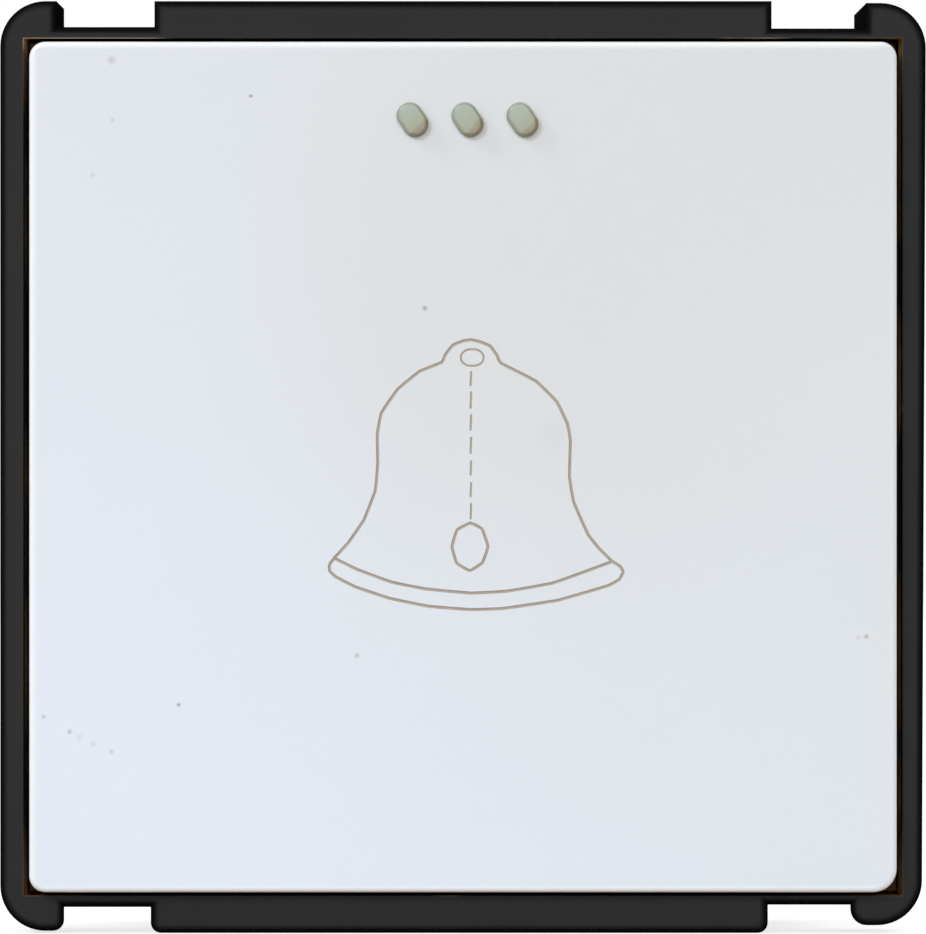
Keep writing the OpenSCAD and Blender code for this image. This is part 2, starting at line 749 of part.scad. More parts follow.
// Stop pads: two rubber discs that the carrier lands on at full press
module stop_pads() {
    pad_y = carrier_y + travel(pad_z - pad_r) + touch_gap;
    color("#1c1c1d") both_sides() at(pad_x, pad_z) rod(pad_r, pad_y, deck_y + pad_recess);
}

// Plunger: a turned stem through the deck, a shoulder for the bridge and a tail inside the spring
module plunger() {
    color("#d9d5c8") at(0, plunger_z) {
        translate([0, plunger_y, 0]) rotate([-90, 0, 0])
            cylinder(r1 = plunger_r - tip_chamfer, r2 = plunger_r, h = tip_chamfer);
        rod(plunger_r, plunger_y + tip_chamfer, bridge_y);
        rod(shoulder_d / 2, shoulder_y, bridge_y);
        rod(tail_r, shoulder_y, tail_y);
    }
}

// Contact bridge: a brass strip across the plunger's shoulder, with a silver contact at each end
module contact_bridge() {
    color("#c9a24b") at(0, plunger_z) difference() {
        window(bridge_w, strip_metal_w, bridge_y, bridge_back_y);
        rod(tail_r + fit_gap, bridge_y - overcut, bridge_back_y + overcut);
        for (s = [-1, 1]) at(s * contact_x, 0)
            rod(rivet_shank_r + fit_gap / 5, bridge_y - overcut, bridge_back_y + overcut);
    }
}

module bridge_rivets() {
    color("#cfd1d0") for (s = [-1, 1]) at(s * contact_x, plunger_z) {
        rod(rivet_shank_r, bridge_y, bridge_back_y + rivet_h / 2);
        rod(rivet_r, bridge_back_y, moving_face_y);
    }
}

// Fixed contacts: a brass strip between each contact post and terminal block
module fixed_contact(side) {
    color("#c9a24b") difference() {
        mirror([side < 0 ? 1 : 0, 0, 0]) box(
            [strip_inner_x, fixed_y, plunger_z - strip_metal_w / 2],
            [strip_outer_x, block_y, plunger_z + strip_metal_w / 2]
        );
        at(side * contact_x, plunger_z)
            rod(rivet_shank_r + fit_gap / 5, fixed_y - overcut, block_y + overcut);
    }
}

module fixed_contact_rivets() {
    color("#cfd1d0") for (s = [-1, 1]) at(s * contact_x, plunger_z) {
        rod(rivet_r, fixed_face_y, fixed_y);
        rod(rivet_shank_r, fixed_y - rivet_h / 2, block_y);
    }
}

// Terminal blocks: brass pillars with a wire hole from below and a clamp screw from behind
module terminal_block(side) {
    color("#c39a42") at(side * terminal_x, 0) difference() {
        box([-block_w / 2, block_y, block_z0], [block_w / 2, block_back_y, block_z0 + block_h]);
        translate([0, wire_y, block_z0 - overcut]) cylinder(r = wire_r, h = block_h + 2 * overcut);
        at(0, clamp_z) rod(clamp_r + fit_gap / 5, wire_y, block_back_y + overcut);
    }
}

module terminal_screws() {
    color("#b4b7ba") for (s = [-1, 1]) at(s * terminal_x, clamp_z) difference() {
        union() {
            rod(clamp_r, clamp_tip_y, clamp_head_y + clamp_head_h / 2);
            rod(clamp_head_d / 2, clamp_head_y, clamp_head_y + clamp_head_h);
        }
        window(
            clamp_head_d + overcut, clamp_slot_w,
            clamp_head_y + clamp_head_h / 2, clamp_head_y + clamp_head_h + overcut
        );
    }
}

// Rear cover: four walls round the spigot that clamp the frame's lip, with a screw column in each
// corner and a wire hole under each terminal
module rear_cover() {
    color("#33200f") difference() {
        union() {
            difference() {
                slab(-lip_rebate, lid_y) polygon(round_rect(cover_w, cover_h, cover_corner_r));
                window(lip_hole_w, lip_hole_h, -lip_rebate - overcut, lid_y + overcut);
            }
            both_sides() both_ends() box(
                [case_x - column_r, spigot_y, case_z - column_r],
                [lip_hole_w / 2 + fit_gap, lid_boss_y, lip_hole_h / 2 + fit_gap]
            );
        }
        four_corners(case_x, case_z) rod(case_screw_d / 2 + fit_gap, spigot_y - overcut, lid_y);
        both_sides() translate([terminal_x, wire_y, -cover_h / 2 - overcut])
            cylinder(r = wire_r + 4 * fit_gap, h = cover_wall + 2 * overcut);
    }
}

// Rear lid: a plate that closes the cover, with a boss in each corner, a screwdriver well behind
// each terminal and the cup of the plunger spring
module rear_lid() {
    relief_w = cover_w / 2 - cover_wall - case_screw_inset - case_head_d;
    color("#33200f") difference() {
        union() {
            soft_slab(lid_y, cover_depth, 0, cover_edge_r)
                polygon(round_rect(cover_w, cover_h, cover_corner_r));
            both_sides() both_ends() box(
                [case_x - column_r, lid_boss_y + fit_gap, case_z - column_r],
                [lip_hole_w / 2 - fit_gap, lid_y + fit_gap, lip_hole_h / 2 - fit_gap]
            );
            both_sides() at(terminal_x, clamp_z) rod(well_r + well_wall, well_y, lid_y + fit_gap);
            at(0, plunger_z) rod(cup_r, well_y, lid_y + fit_gap);
        }
        four_corners(case_x, case_z) {
            rod(case_screw_d / 2 + fit_gap, lid_boss_y, cover_depth + overcut);
            rod(case_head_d / 2 + 2 * fit_gap, case_head_y, cover_depth + overcut);
        }
        both_sides() at(terminal_x, clamp_z) rod(well_r, well_y - overcut, cover_depth + overcut);
        at(0, plunger_z) rod(plunger_mean_r + plunger_wire_d, well_y - overcut, cup_floor_y);
        both_sides() box(
            [cover_wall, cover_depth - relief_depth, 0],
            [cover_wall + relief_w, cover_depth + overcut, case_z]
        );
    }
}

// Case screws: four long self-tapping screws from the lid through the cover into the base's columns
module case_screws() {
    head_back_y = case_head_y + case_head_h;
    color("#b4b7ba") four_corners(case_x, case_z) difference() {
        union() {
            rod(case_screw_d / 2 - fit_gap / 5, case_head_y - case_screw_len, head_back_y - case_head_h / 2);
            rod(case_head_d / 2, case_head_y, head_back_y);
        }
        for (turn = [0, 90]) rotate([0, turn, 0])
            window(cross_slot_len, cross_slot_w, head_back_y - cross_slot_depth, head_back_y + overcut);
    }
}

// Springs
module plunger_spring() {
    y0 = bridge_back_y + plunger_wire_d / 2 + fit_gap;
    y1 = cup_floor_y - plunger_wire_d / 2 - fit_gap;
    echo(least_gap_in_plunger_spring = coil_gap(plunger_wire_d, y0, y1, plunger_turns));
    color("#a9adb2") at(0, plunger_z) coil(plunger_mean_r, plunger_wire_d, y0, y1, plunger_turns);
}

module return_spring(side) {
    y0 = carrier_y + return_wire_d / 2 + fit_gap;
    y1 = return_floor_y - return_wire_d / 2 - fit_gap;
    echo(least_gap_in_return_spring = coil_gap(return_wire_d, y0, y1, return_turns));
    color("#a9adb2") at(side * return_x, return_z)
        coil(return_mean_r, return_wire_d, y0, y1, return_turns);
}

mounting_frame();
switch_base();
rear_cover();
rear_lid();
case_screws();
hinge_pins();
stop_pads();
terminal_block(-1);  // terminal_block_left
terminal_block(1);  // terminal_block_right
terminal_screws();
fixed_contact(-1);  // fixed_contact_left
fixed_contact(1);  // fixed_contact_right
fixed_contact_rivets();
push_plate();
glow_strip();
key_carrier();
plunger();
contact_bridge();
bridge_rivets();
plunger_spring();
return_spring(-1);  // return_spring_left
return_spring(1);  // return_spring_right
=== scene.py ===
import math

import bpy
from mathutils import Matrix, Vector


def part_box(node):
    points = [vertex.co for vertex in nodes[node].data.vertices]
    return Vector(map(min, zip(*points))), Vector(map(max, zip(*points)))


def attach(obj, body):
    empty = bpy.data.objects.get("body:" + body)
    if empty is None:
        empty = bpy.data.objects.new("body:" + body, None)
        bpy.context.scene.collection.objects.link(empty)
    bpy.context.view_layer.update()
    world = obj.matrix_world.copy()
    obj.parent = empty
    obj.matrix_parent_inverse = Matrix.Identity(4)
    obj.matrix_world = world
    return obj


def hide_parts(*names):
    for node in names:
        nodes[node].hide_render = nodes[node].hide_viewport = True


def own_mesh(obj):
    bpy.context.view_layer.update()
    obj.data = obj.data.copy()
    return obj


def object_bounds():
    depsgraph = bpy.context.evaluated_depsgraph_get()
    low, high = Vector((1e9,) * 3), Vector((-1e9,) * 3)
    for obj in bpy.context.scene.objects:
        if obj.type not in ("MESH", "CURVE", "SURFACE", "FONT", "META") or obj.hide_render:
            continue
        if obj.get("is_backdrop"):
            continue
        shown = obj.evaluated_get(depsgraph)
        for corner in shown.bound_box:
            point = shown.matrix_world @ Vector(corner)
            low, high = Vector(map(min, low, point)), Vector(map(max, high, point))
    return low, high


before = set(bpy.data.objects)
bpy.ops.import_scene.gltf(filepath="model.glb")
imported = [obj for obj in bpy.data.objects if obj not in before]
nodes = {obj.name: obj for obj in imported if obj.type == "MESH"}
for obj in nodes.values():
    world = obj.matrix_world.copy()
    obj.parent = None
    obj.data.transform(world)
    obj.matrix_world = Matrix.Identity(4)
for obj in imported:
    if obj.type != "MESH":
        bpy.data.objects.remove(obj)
cad_low, cad_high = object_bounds()


# Frame: the dark ring that clips into the wall support, with a clip rail at top and bottom, four
# notches, four ears and a seat lip inside. It is injection moulded in charcoal ABS, matt all over,
# and a little out of true at its foot and on its right side.
MM = 0.001
FRAME_W, FRAME_H, FRAME_FRONT = 45.0, 45.3, -9.5
NOTCH_Z, RAIL_X, RAIL_ROUND_R = 21.39, 15.0, 0.5
OPENING_W, OPENING_H, LIP_FRONT = 42.72, 41.66, -1.6
LEAD_IN, LEAD_DEPTH = 0.17, 1.5
LIP_HOLE_W, LIP_HOLE_H = 36.52, 35.46
REBATE_W, REBATE_H, REBATE_DEPTH = 39.72, 38.66, 0.4
GROOVE_FRONT, GROOVE_BACK, GROOVE_DEPTH = -5.5, -3.5, 0.6
EAR_X, EAR_STEP, STEP_BACK = {-1: 19.38, 1: 19.0}, {-1: 0.36, 1: 0.58}, -8.3
EAR_CORNER_R, EAR_ROUND_R, EAR_DRAFT = 2.2, {-1: 0.55, 1: 0.8}, 0.22
EAR_TOP, EAR_FOOT = {-1: 22.65, 1: 22.56}, {-1: 22.55, 1: 22.28}
FOOT_LEAN, FOOT_Z, NOTCH_SINK = 0.18, -20.0, {-1: 0.11, 1: 0.07}
FRONT_EDGE_R, SHARP_EDGE = 0.46, 0.07
# How close a point lies to the place that picks it, and how far a cutter runs past the piece.
NEAR, PAST = 0.01, 1.0
# Points that are one point, and the turns of a flat face, a hard edge and a smooth one.
ONE_POINT, FLAT_TURN, HARD_TURN, SMOOTH_TURN = 1e-6, 0.5, 38, 32


def take(piece):
    """Selects one piece alone and makes it the active one."""
    bpy.ops.object.select_all(action="DESELECT")
    piece.select_set(True)
    bpy.context.view_layer.objects.active = piece


def settle():
    """Applies the place, turn and scale of what is selected to its mesh."""
    bpy.ops.object.transform_apply(location=True, rotation=True, scale=True)


def block(name, low, high):
    """Adds a box between two corners given in millimetres."""
    low, high = Vector(low) * MM, Vector(high) * MM
    bpy.ops.object.select_all(action="DESELECT")
    bpy.ops.mesh.primitive_cube_add(size=1, location=(low + high) / 2)
    piece = bpy.context.object
    piece.name = piece.data.name = name
    piece.scale = high - low
    settle()
    return piece


def pick(piece, kind, wanted=lambda points: True):
    """Opens a piece in edit mode with the vertices, edges or faces selected whose points, in
    millimetres, pass the test."""
    take(piece)
    bpy.ops.object.mode_set(mode="EDIT")
    bpy.ops.mesh.select_mode(type=kind)
    bpy.ops.mesh.select_all(action="DESELECT")
    bpy.ops.object.mode_set(mode="OBJECT")
    points = [v.co / MM for v in piece.data.vertices]
    if kind == "VERT":
        for v in piece.data.vertices:
            v.select = wanted([points[v.index]])
    else:
        for part in piece.data.edges if kind == "EDGE" else piece.data.polygons:
            part.select = wanted([points[i] for i in part.vertices])
    bpy.ops.object.mode_set(mode="EDIT")


def round_edges(piece, radius, segments, wanted):
    """Bevels the edges that pass the test, by a radius in millimetres."""
    pick(piece, "EDGE", wanted)
    bpy.ops.mesh.bevel(offset=radius * MM, segments=segments, affect="EDGES", clamp_overlap=False)
    bpy.ops.object.mode_set(mode="OBJECT")


def shift(piece, offset, wanted):
    """Moves the points that pass the test by an offset in millimetres."""
    pick(piece, "VERT", lambda points: wanted(points[0]))
    bpy.ops.transform.translate(value=Vector(offset) * MM)
    bpy.ops.object.mode_set(mode="OBJECT")


def along_y(test=lambda x, z: True):
    """A test for edges that run along Y at a place that passes a test on x and z."""
    return lambda ends: (
        abs(ends[0].x - ends[1].x) < NEAR and abs(ends[0].z - ends[1].z) < NEAR
        and test(ends[0].x, ends[0].z)
    )


def ahead_of(y):
    """A test for edges and faces that lie at a depth or in front of it."""
    return lambda points: all(p.y < y + NEAR for p in points)


def behind(y):
    """A test for edges and faces that lie at a depth or behind it."""
    return lambda points: all(p.y > y - NEAR for p in points)


def combine(piece, tool, operation):
    """Adds a tool to a piece or cuts it out of it, and removes the tool."""
    take(piece)
    bpy.ops.object.modifier_add(type="BOOLEAN")
    made = piece.modifiers[-1]
    made.object, made.operation, made.solver = tool, operation, "EXACT"
    bpy.ops.object.modifier_apply(modifier=made.name)
    bpy.data.objects.remove(tool)


def clean_flats(piece):
    """Merges doubled points and dissolves the seams inside flat faces."""
    pick(piece, "FACE")
    bpy.ops.mesh.remove_doubles(threshold=ONE_POINT)
    bpy.ops.mesh.dissolve_limited(angle_limit=math.radians(FLAT_TURN))
    bpy.ops.object.mode_set(mode="OBJECT")


def break_edges(piece, width, segments=2):
    """Takes the sharpness off every hard edge and smooths the rest, with flat faces kept flat."""
    take(piece)
    if width:
        bpy.ops.object.modifier_add(type="BEVEL")
        made = piece.modifiers[-1]
        made.width, made.segments = width * MM, segments
        made.limit_method, made.angle_limit = "ANGLE", math.radians(HARD_TURN)
        made.use_clamp_overlap = True
        bpy.ops.object.modifier_apply(modifier=made.name)
    bpy.ops.object.shade_smooth_by_angle(angle=math.radians(SMOOTH_TURN))
    bpy.ops.object.modifier_add(type="WEIGHTED_NORMAL")
    made = piece.modifiers[-1]
    made.keep_sharp = True
    bpy.ops.object.modifier_apply(modifier=made.name)


def linear(code):
    """Turns an sRGB hex colour into linear RGBA."""
    parts = [int(code[i:i + 2], 16) / 255 for i in (1, 3, 5)]
    return [c / 12.92 if c <= 0.04045 else ((c + 0.055) / 1.055) ** 2.4 for c in parts] + [1.0]


def add_node(material, kind, inputs=(), give=None, **settings):
    """Adds a shader node of a kind, such as Mix or TexNoise, and sets or links its inputs. It gives
    the node, or the output named."""
    made = material.node_tree.nodes.new("ShaderNode" + kind)
    for name, value in settings.items():
        setattr(made, name, value)
    for name, value in dict(inputs).items():
        fits = [s for s in made.inputs if s.name == name and s.enabled]
        socket = fits[0] if fits else made.inputs[name]
        if isinstance(value, bpy.types.NodeSocket):
            material.node_tree.links.new(value, socket)
        else:
            socket.default_value = value
    return next(s for s in made.outputs if s.name == give and s.enabled) if give else made


def begin_material(name):
    """Starts an empty material and gives it with the places on the piece that its patterns read."""
    material = bpy.data.materials.new(name)
    material.use_nodes = True
    material.node_tree.nodes.clear()
    return material, add_node(material, "TexCoord", give="Object")


def end_material(material, inputs):
    """Closes a material with the surface shader that its patterns feed."""
    surface = add_node(material, "BsdfPrincipled", inputs, "BSDF")
    add_node(material, "OutputMaterial", {"Surface": surface})
    return material


def wear(piece, material):
    """Gives a piece one material all over."""
    piece.data.materials.clear()
    piece.data.materials.append(material)


ring = block("frame_moulding", (-FRAME_W / 2, FRAME_FRONT, -NOTCH_Z), (FRAME_W / 2, 0, NOTCH_Z))
round_edges(ring, EAR_CORNER_R, 14, along_y())
rails = block("rails", (-RAIL_X, FRAME_FRONT, -FRAME_H / 2), (RAIL_X, 0, FRAME_H / 2))
round_edges(rails, RAIL_ROUND_R, 6, along_y(lambda x, z: z < 0))
combine(ring, rails, "UNION")
for side in (-1, 1):
    inner, outer = sorted((side * EAR_X[side], side * FRAME_W / 2))
    ears = block("ears", (inner, FRAME_FRONT, -EAR_FOOT[side]), (outer, 0, EAR_TOP[side]))
    reach = EAR_X[side] + NEAR
    round_edges(ears, EAR_CORNER_R, 14, along_y(lambda x, z: abs(x) > EAR_X[side] + PAST))
    round_edges(ears, EAR_STEP[side], 1, along_y(lambda x, z: abs(x) < reach and z > 0))
    round_edges(ears, EAR_ROUND_R[side], 6, along_y(lambda x, z: abs(x) < reach and z < 0))
    shift(ears, (side * EAR_DRAFT, 0, 0),
          lambda p: p.y > -NEAR and abs(p.x) < EAR_X[side] + PAST)
    combine(ring, ears, "UNION")
for side in (-1, 1):
    low, high = sorted((side * (FRAME_H / 2 - GROOVE_DEPTH), side * (FRAME_H / 2 + PAST)))
    combine(ring, block("groove", (-RAIL_X - PAST, GROOVE_FRONT, low),
                        (RAIL_X + PAST, GROOVE_BACK, high)), "DIFFERENCE")
    low, high = sorted((side * (EAR_X[side] - PAST), side * (EAR_X[side] + EAR_STEP[side])))
    combine(ring, block("step", (low, FRAME_FRONT - PAST, NOTCH_Z),
                        (high, STEP_BACK, FRAME_H / 2 + PAST)), "DIFFERENCE")
clean_flats(ring)
for side in (-1, 1):
    shift(ring, (0, 0, -side * NOTCH_SINK[side]), lambda p: (
        RAIL_X - PAST < p.x < EAR_X[1] + EAR_STEP[1] + NEAR
        and abs(p.z - side * NOTCH_Z) < NEAR))
shift(ring, (-FOOT_LEAN, 0, 0), lambda p: p.x > -RAIL_X - PAST and p.z < FOOT_Z)
round_edges(ring, FRONT_EDGE_R, 6, ahead_of(FRAME_FRONT))
opening = block("opening", (-OPENING_W / 2, FRAME_FRONT - NEAR, -OPENING_H / 2),
                (OPENING_W / 2, FRAME_FRONT + LEAD_DEPTH, OPENING_H / 2))
pick(opening, "FACE", behind(FRAME_FRONT + LEAD_DEPTH))
bpy.ops.transform.resize(value=(1 - 2 * LEAD_IN / OPENING_W, 1, 1), center_override=(0, 0, 0))
bpy.ops.mesh.extrude_region_move(TRANSFORM_OT_translate={
    "value": (0, (LIP_FRONT - FRAME_FRONT - LEAD_DEPTH) * MM, 0)})
bpy.ops.object.mode_set(mode="OBJECT")
combine(ring, opening, "DIFFERENCE")
combine(ring, block("lip_hole", (-LIP_HOLE_W / 2, LIP_FRONT - PAST, -LIP_HOLE_H / 2),
                    (LIP_HOLE_W / 2, PAST, LIP_HOLE_H / 2)), "DIFFERENCE")
combine(ring, block("rebate", (-REBATE_W / 2, -REBATE_DEPTH, -REBATE_H / 2),
                    (REBATE_W / 2, PAST, REBATE_H / 2)), "DIFFERENCE")
clean_flats(ring)
break_edges(ring, SHARP_EDGE)

# Charcoal ABS: the front is spark-eroded to a fine matt grain. The turn of its edges and the steps
# are painted near black, painted shade that fades out back along the flanks. Brown dust lies in
# the opening, with paler dust in patches on its rim. The grain is about 0.1 mm, drawn at 0.16 mm
# so that it shows. Depths are from the front.
GRAIN, DUST_PATCH, RIM_DEPTH = 0.16, 7.0, 0.3
SKIN, SHADE_FADE_DEPTH, EDGE_SHADE_POWER = (0.5, 0.9), (1.3, 2.8), 7.0
CORNER_DUST, SWEPT_X, SWEPT_Z = (4.0, 0.5), (-14.2, -15.2), (20.2, 20.6)
charcoal, place = begin_material("charcoal_abs")
normal = add_node(charcoal, "TexCoord", give="Normal")
facing = add_node(charcoal, "SeparateXYZ", {"Vector": normal}, "Y")
# Painted shade: what turns away from the front near it, the rounded edges and the steps, takes the
# near-black flank colour.
ahead = add_node(charcoal, "MapRange", {
    "Value": facing, "From Min": 0.0, "From Max": -1.0}, "Result")
turned = add_node(charcoal, "Math", {0: ahead, 1: EDGE_SHADE_POWER}, "Value", operation="POWER")
deep = add_node(charcoal, "SeparateXYZ", {"Vector": place}, "Y")
skin = add_node(charcoal, "MapRange", {
    "Value": deep, "From Min": (FRAME_FRONT + SKIN[1]) * MM,
    "From Max": (FRAME_FRONT + SKIN[0]) * MM}, "Result")
front = add_node(charcoal, "Math", {0: turned, 1: skin}, "Value", operation="MULTIPLY")
inside = corner = None
for axis, half in (("X", OPENING_W / 2), ("Z", OPENING_H / 2)):
    along = add_node(charcoal, "SeparateXYZ", {"Vector": place}, axis)
    away = add_node(charcoal, "Math", {0: along}, "Value", operation="ABSOLUTE")
    within = add_node(charcoal, "Math", {0: away, 1: (half + 3 * NEAR) * MM}, "Value",
                      operation="LESS_THAN")
    at_end = add_node(charcoal, "MapRange", {
        "Value": away, "From Min": (half - CORNER_DUST[0]) * MM,
        "From Max": (half - CORNER_DUST[1]) * MM}, "Result")
    if axis == "X":
        inside, corner, left = within, at_end, along
    else:
        inside = add_node(charcoal, "Math", {0: inside, 1: within}, "Value", operation="MULTIPLY")
        corner = add_node(charcoal, "Math", {0: corner, 1: at_end}, "Value", operation="MULTIPLY")
        up = along
grain = add_node(charcoal, "TexNoise", {
    "Vector": place, "Scale": 1 / (GRAIN * MM), "Detail": 3.0, "Roughness": 0.6}, "Fac")
cloud = add_node(charcoal, "TexNoise", {
    "Vector": place, "Scale": 1 / (DUST_PATCH * MM), "Detail": 4.0, "Roughness": 0.5}, "Fac")
matt = add_node(charcoal, "Mix", {
    "Factor": cloud, "A": linear("#303030"), "B": linear("#353535")}, "Result", data_type="RGBA")
shade_fade = add_node(charcoal, "MapRange", {
    "Value": deep, "From Min": (FRAME_FRONT + SHADE_FADE_DEPTH[0]) * MM,
    "From Max": (FRAME_FRONT + SHADE_FADE_DEPTH[1]) * MM}, "Result", interpolation_type="SMOOTHSTEP")
# Painted shade: the flanks are near black at the front edge and fade to their own charcoal further
# back.
sides = add_node(charcoal, "Mix", {
    "Factor": shade_fade, "A": linear("#0f0f0f"), "B": linear("#464647")}, "Result", data_type="RGBA")
body = add_node(charcoal, "Mix", {"Factor": front, "A": sides, "B": matt}, "Result",
                data_type="RGBA")
settled = add_node(charcoal, "MapRange", {
    "Value": deep, "From Min": (FRAME_FRONT + RIM_DEPTH) * MM,
    "From Max": (FRAME_FRONT + 3 * RIM_DEPTH) * MM}, "Result")
strewn = add_node(charcoal, "MapRange", {
    "Value": cloud, "From Min": 0.42, "From Max": 0.6, "To Min": 0.2}, "Result")
strewn = add_node(charcoal, "Math", {0: settled, 1: strewn}, "Value", operation="MULTIPLY")
lying = add_node(charcoal, "Math", {0: strewn, 1: corner}, "Value", operation="MAXIMUM")
brown = add_node(charcoal, "Math", {0: inside, 1: lying}, "Value", operation="MULTIPLY")
ahead_of_lip = add_node(charcoal, "Math", {0: deep, 1: (LIP_FRONT + 0.1) * MM}, "Value",
                        operation="LESS_THAN")
brown = add_node(charcoal, "Math", {0: brown, 1: ahead_of_lip}, "Value", operation="MULTIPLY")
dust = add_node(charcoal, "Mix", {
    "Factor": settled, "A": linear("#5f4b32"), "B": linear("#b08a68")}, "Result", data_type="RGBA")
dusty = add_node(charcoal, "Mix", {"Factor": brown, "A": body, "B": dust}, "Result",
                 data_type="RGBA")
leftmost = add_node(charcoal, "MapRange", {
    "Value": left, "From Min": SWEPT_X[0] * MM, "From Max": SWEPT_X[1] * MM}, "Result")
topmost = add_node(charcoal, "MapRange", {
    "Value": up, "From Min": SWEPT_Z[0] * MM, "From Max": SWEPT_Z[1] * MM, "To Max": 0.9},
    "Result")
swept = add_node(charcoal, "Math", {0: leftmost, 1: topmost}, "Value", operation="MULTIPLY")
patch = add_node(charcoal, "MapRange", {
    "Value": cloud, "From Min": 0.58, "From Max": 0.68}, "Result")
patch = add_node(charcoal, "Math", {0: patch, 1: swept}, "Value", operation="MAXIMUM")
rim = add_node(charcoal, "MapRange", {
    "Value": deep, "From Min": (FRAME_FRONT + 2 * RIM_DEPTH) * MM,
    "From Max": (FRAME_FRONT + RIM_DEPTH) * MM}, "Result")
for part in (inside, rim):
    patch = add_node(charcoal, "Math", {0: patch, 1: part}, "Value", operation="MULTIPLY")
end_material(charcoal, {
    "Base Color": add_node(charcoal, "Mix", {
        "Factor": patch, "A": dusty, "B": linear("#ab9378")}, "Result", data_type="RGBA"),
    "Roughness": add_node(charcoal, "MapRange", {
        "Value": front, "To Min": 0.42, "To Max": 0.66}, "Result"),
    "Normal": add_node(charcoal, "Bump", {
        "Height": grain, "Strength": 0.25, "Distance": 0.01 * MM}, "Normal"),
    "Specular IOR Level": 0.0, "IOR": 1.5})
wear(ring, charcoal)
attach(ring, "base")
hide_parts("mounting_frame")


# Switch base: the deck behind the push plate with its walled spigot, bearing lugs, spring wells,
# plunger guide and contact posts. It is compression moulded in brown phenolic, one piece. Brown
# dust has settled on the margin of its deck, which shows in the corners of the frame's opening.
PHENOLIC_FLOW, PHENOLIC_SPECK, FLOW_STRETCH = 3.5, 0.22, 0.35
DUST_X, DUST_Z, DUST_FADE = 19.8, 19.3, 0.5


def phenolic_finish(name, dark, light):
    """Brown phenolic: a hard satin skin with faint flow marks from the moulding powder, dusty only
    on what reaches out past the case."""
    material, place = begin_material(name)
    drawn = add_node(material, "Mapping", {
        "Vector": place, "Scale": (1.0, FLOW_STRETCH, 1.0)}, "Vector")
    flow = add_node(material, "TexNoise", {
        "Vector": drawn, "Scale": 1 / (PHENOLIC_FLOW * MM), "Detail": 6.0, "Roughness": 0.65,
        "Distortion": 0.8}, "Fac")
    speck = add_node(material, "TexNoise", {
        "Vector": place, "Scale": 1 / (PHENOLIC_SPECK * MM), "Detail": 2.0}, "Fac")
    both = add_node(material, "Mix", {
        "Factor": 0.35, "A": flow, "B": speck}, "Result", data_type="FLOAT")
    ramp = add_node(material, "ValToRGB", {"Fac": both})
    for end, place_on, code in ((0, 0.35, dark), (1, 0.7, light)):
        ramp.color_ramp.elements[end].position = place_on
        ramp.color_ramp.elements[end].color = linear(code)
    mirrored = add_node(material, "VectorMath", {0: place}, "Vector", operation="ABSOLUTE")
    past = add_node(material, "VectorMath", {
        0: mirrored, 1: (DUST_X * MM, 0, DUST_Z * MM)}, "Vector", operation="SUBTRACT")
    past = add_node(material, "SeparateXYZ", {"Vector": past})
    outer = add_node(material, "Math", {
        0: past.outputs["X"], 1: past.outputs["Z"]}, "Value", operation="MAXIMUM")
    dust = add_node(material, "MapRange", {"Value": outer, "From Max": DUST_FADE * MM}, "Result")
    satin = add_node(material, "MapRange", {"Value": flow, "To Min": 0.34, "To Max": 0.5}, "Result")
    return end_material(material, {
        "Base Color": add_node(material, "Mix", {
            "Factor": dust, "A": ramp.outputs["Color"], "B": linear("#d3a06c")}, "Result",
            data_type="RGBA"),
        "Roughness": add_node(material, "Mix", {
            "Factor": dust, "A": satin, "B": 0.95}, "Result", data_type="FLOAT"),
        "Normal": add_node(material, "Bump", {
            "Height": speck, "Strength": 0.2, "Distance": 0.008 * MM}, "Normal"),
        "Specular IOR Level": 0.25, "IOR": 1.6})


wear(nodes["switch_base"], phenolic_finish("brown_phenolic_base", "#35200f", "#51321e"))


# Stop pads: two rubber discs pressed into shallow recesses of the deck, which the carrier lands on.
# Each is punched from black sheet rubber, with its edge eased.
def disc(name, radius, y0, y1, x=0.0, z=0.0, sides=48):
    """Adds a round disc or rod along Y, at a place and between two depths in millimetres."""
    bpy.ops.object.select_all(action="DESELECT")
    bpy.ops.mesh.primitive_cylinder_add(
        vertices=sides, radius=radius * MM, depth=(y1 - y0) * MM,
        location=(x * MM, (y0 + y1) / 2 * MM, z * MM), rotation=(math.pi / 2, 0, 0))
    piece = bpy.context.object
    piece.name = piece.data.name = name
    settle()
    return piece


def join_all(pieces, name):
    """Joins pieces into one object."""
    bpy.ops.object.select_all(action="DESELECT")
    for piece in pieces:
        piece.select_set(True)
    bpy.context.view_layer.objects.active = pieces[0]
    bpy.ops.object.join()
    pieces[0].name = pieces[0].data.name = name
    return pieces[0]


PAD_R, PAD_X, PAD_EDGE_R, PAD_BLOOM = 2.0, 11.5, 0.15, 0.4
pad_low, pad_high = (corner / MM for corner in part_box("stop_pads"))
pad_z = (pad_low.z + pad_high.z) / 2
pads = []
for side in (-1, 1):
    pad = disc("pad", PAD_R, pad_low.y, pad_high.y, side * PAD_X, pad_z)
    round_edges(pad, PAD_EDGE_R, 3, ahead_of(pad_low.y))
    pads.append(pad)
pads = join_all(pads, "stop_pad_pair")
break_edges(pads, 0)
rubber, place = begin_material("black_sheet_rubber")
bloom = add_node(rubber, "TexNoise", {
    "Vector": place, "Scale": 1 / (PAD_BLOOM * MM), "Detail": 5.0, "Roughness": 0.7}, "Fac")
end_material(rubber, {
    "Base Color": add_node(rubber, "Mix", {
        "Factor": bloom, "A": linear("#161617"), "B": linear("#262627")}, "Result",
        data_type="RGBA"),
    "Normal": add_node(rubber, "Bump", {
        "Height": bloom, "Strength": 0.4, "Distance": 0.02 * MM}, "Normal"),
    "Roughness": 0.82})
wear(pads, rubber)
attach(pads, "base")
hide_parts("stop_pads")


# Return springs: two compression springs in wells of the base, which push the plate out again.
# Each is wound from drawn spring steel wire, with a closed turn at both ends.
WIRE_SIDES, WIRE_STEPS, CLOSED_PITCH, SMOOTH_WIRE = 12, 28, 1.04, 50


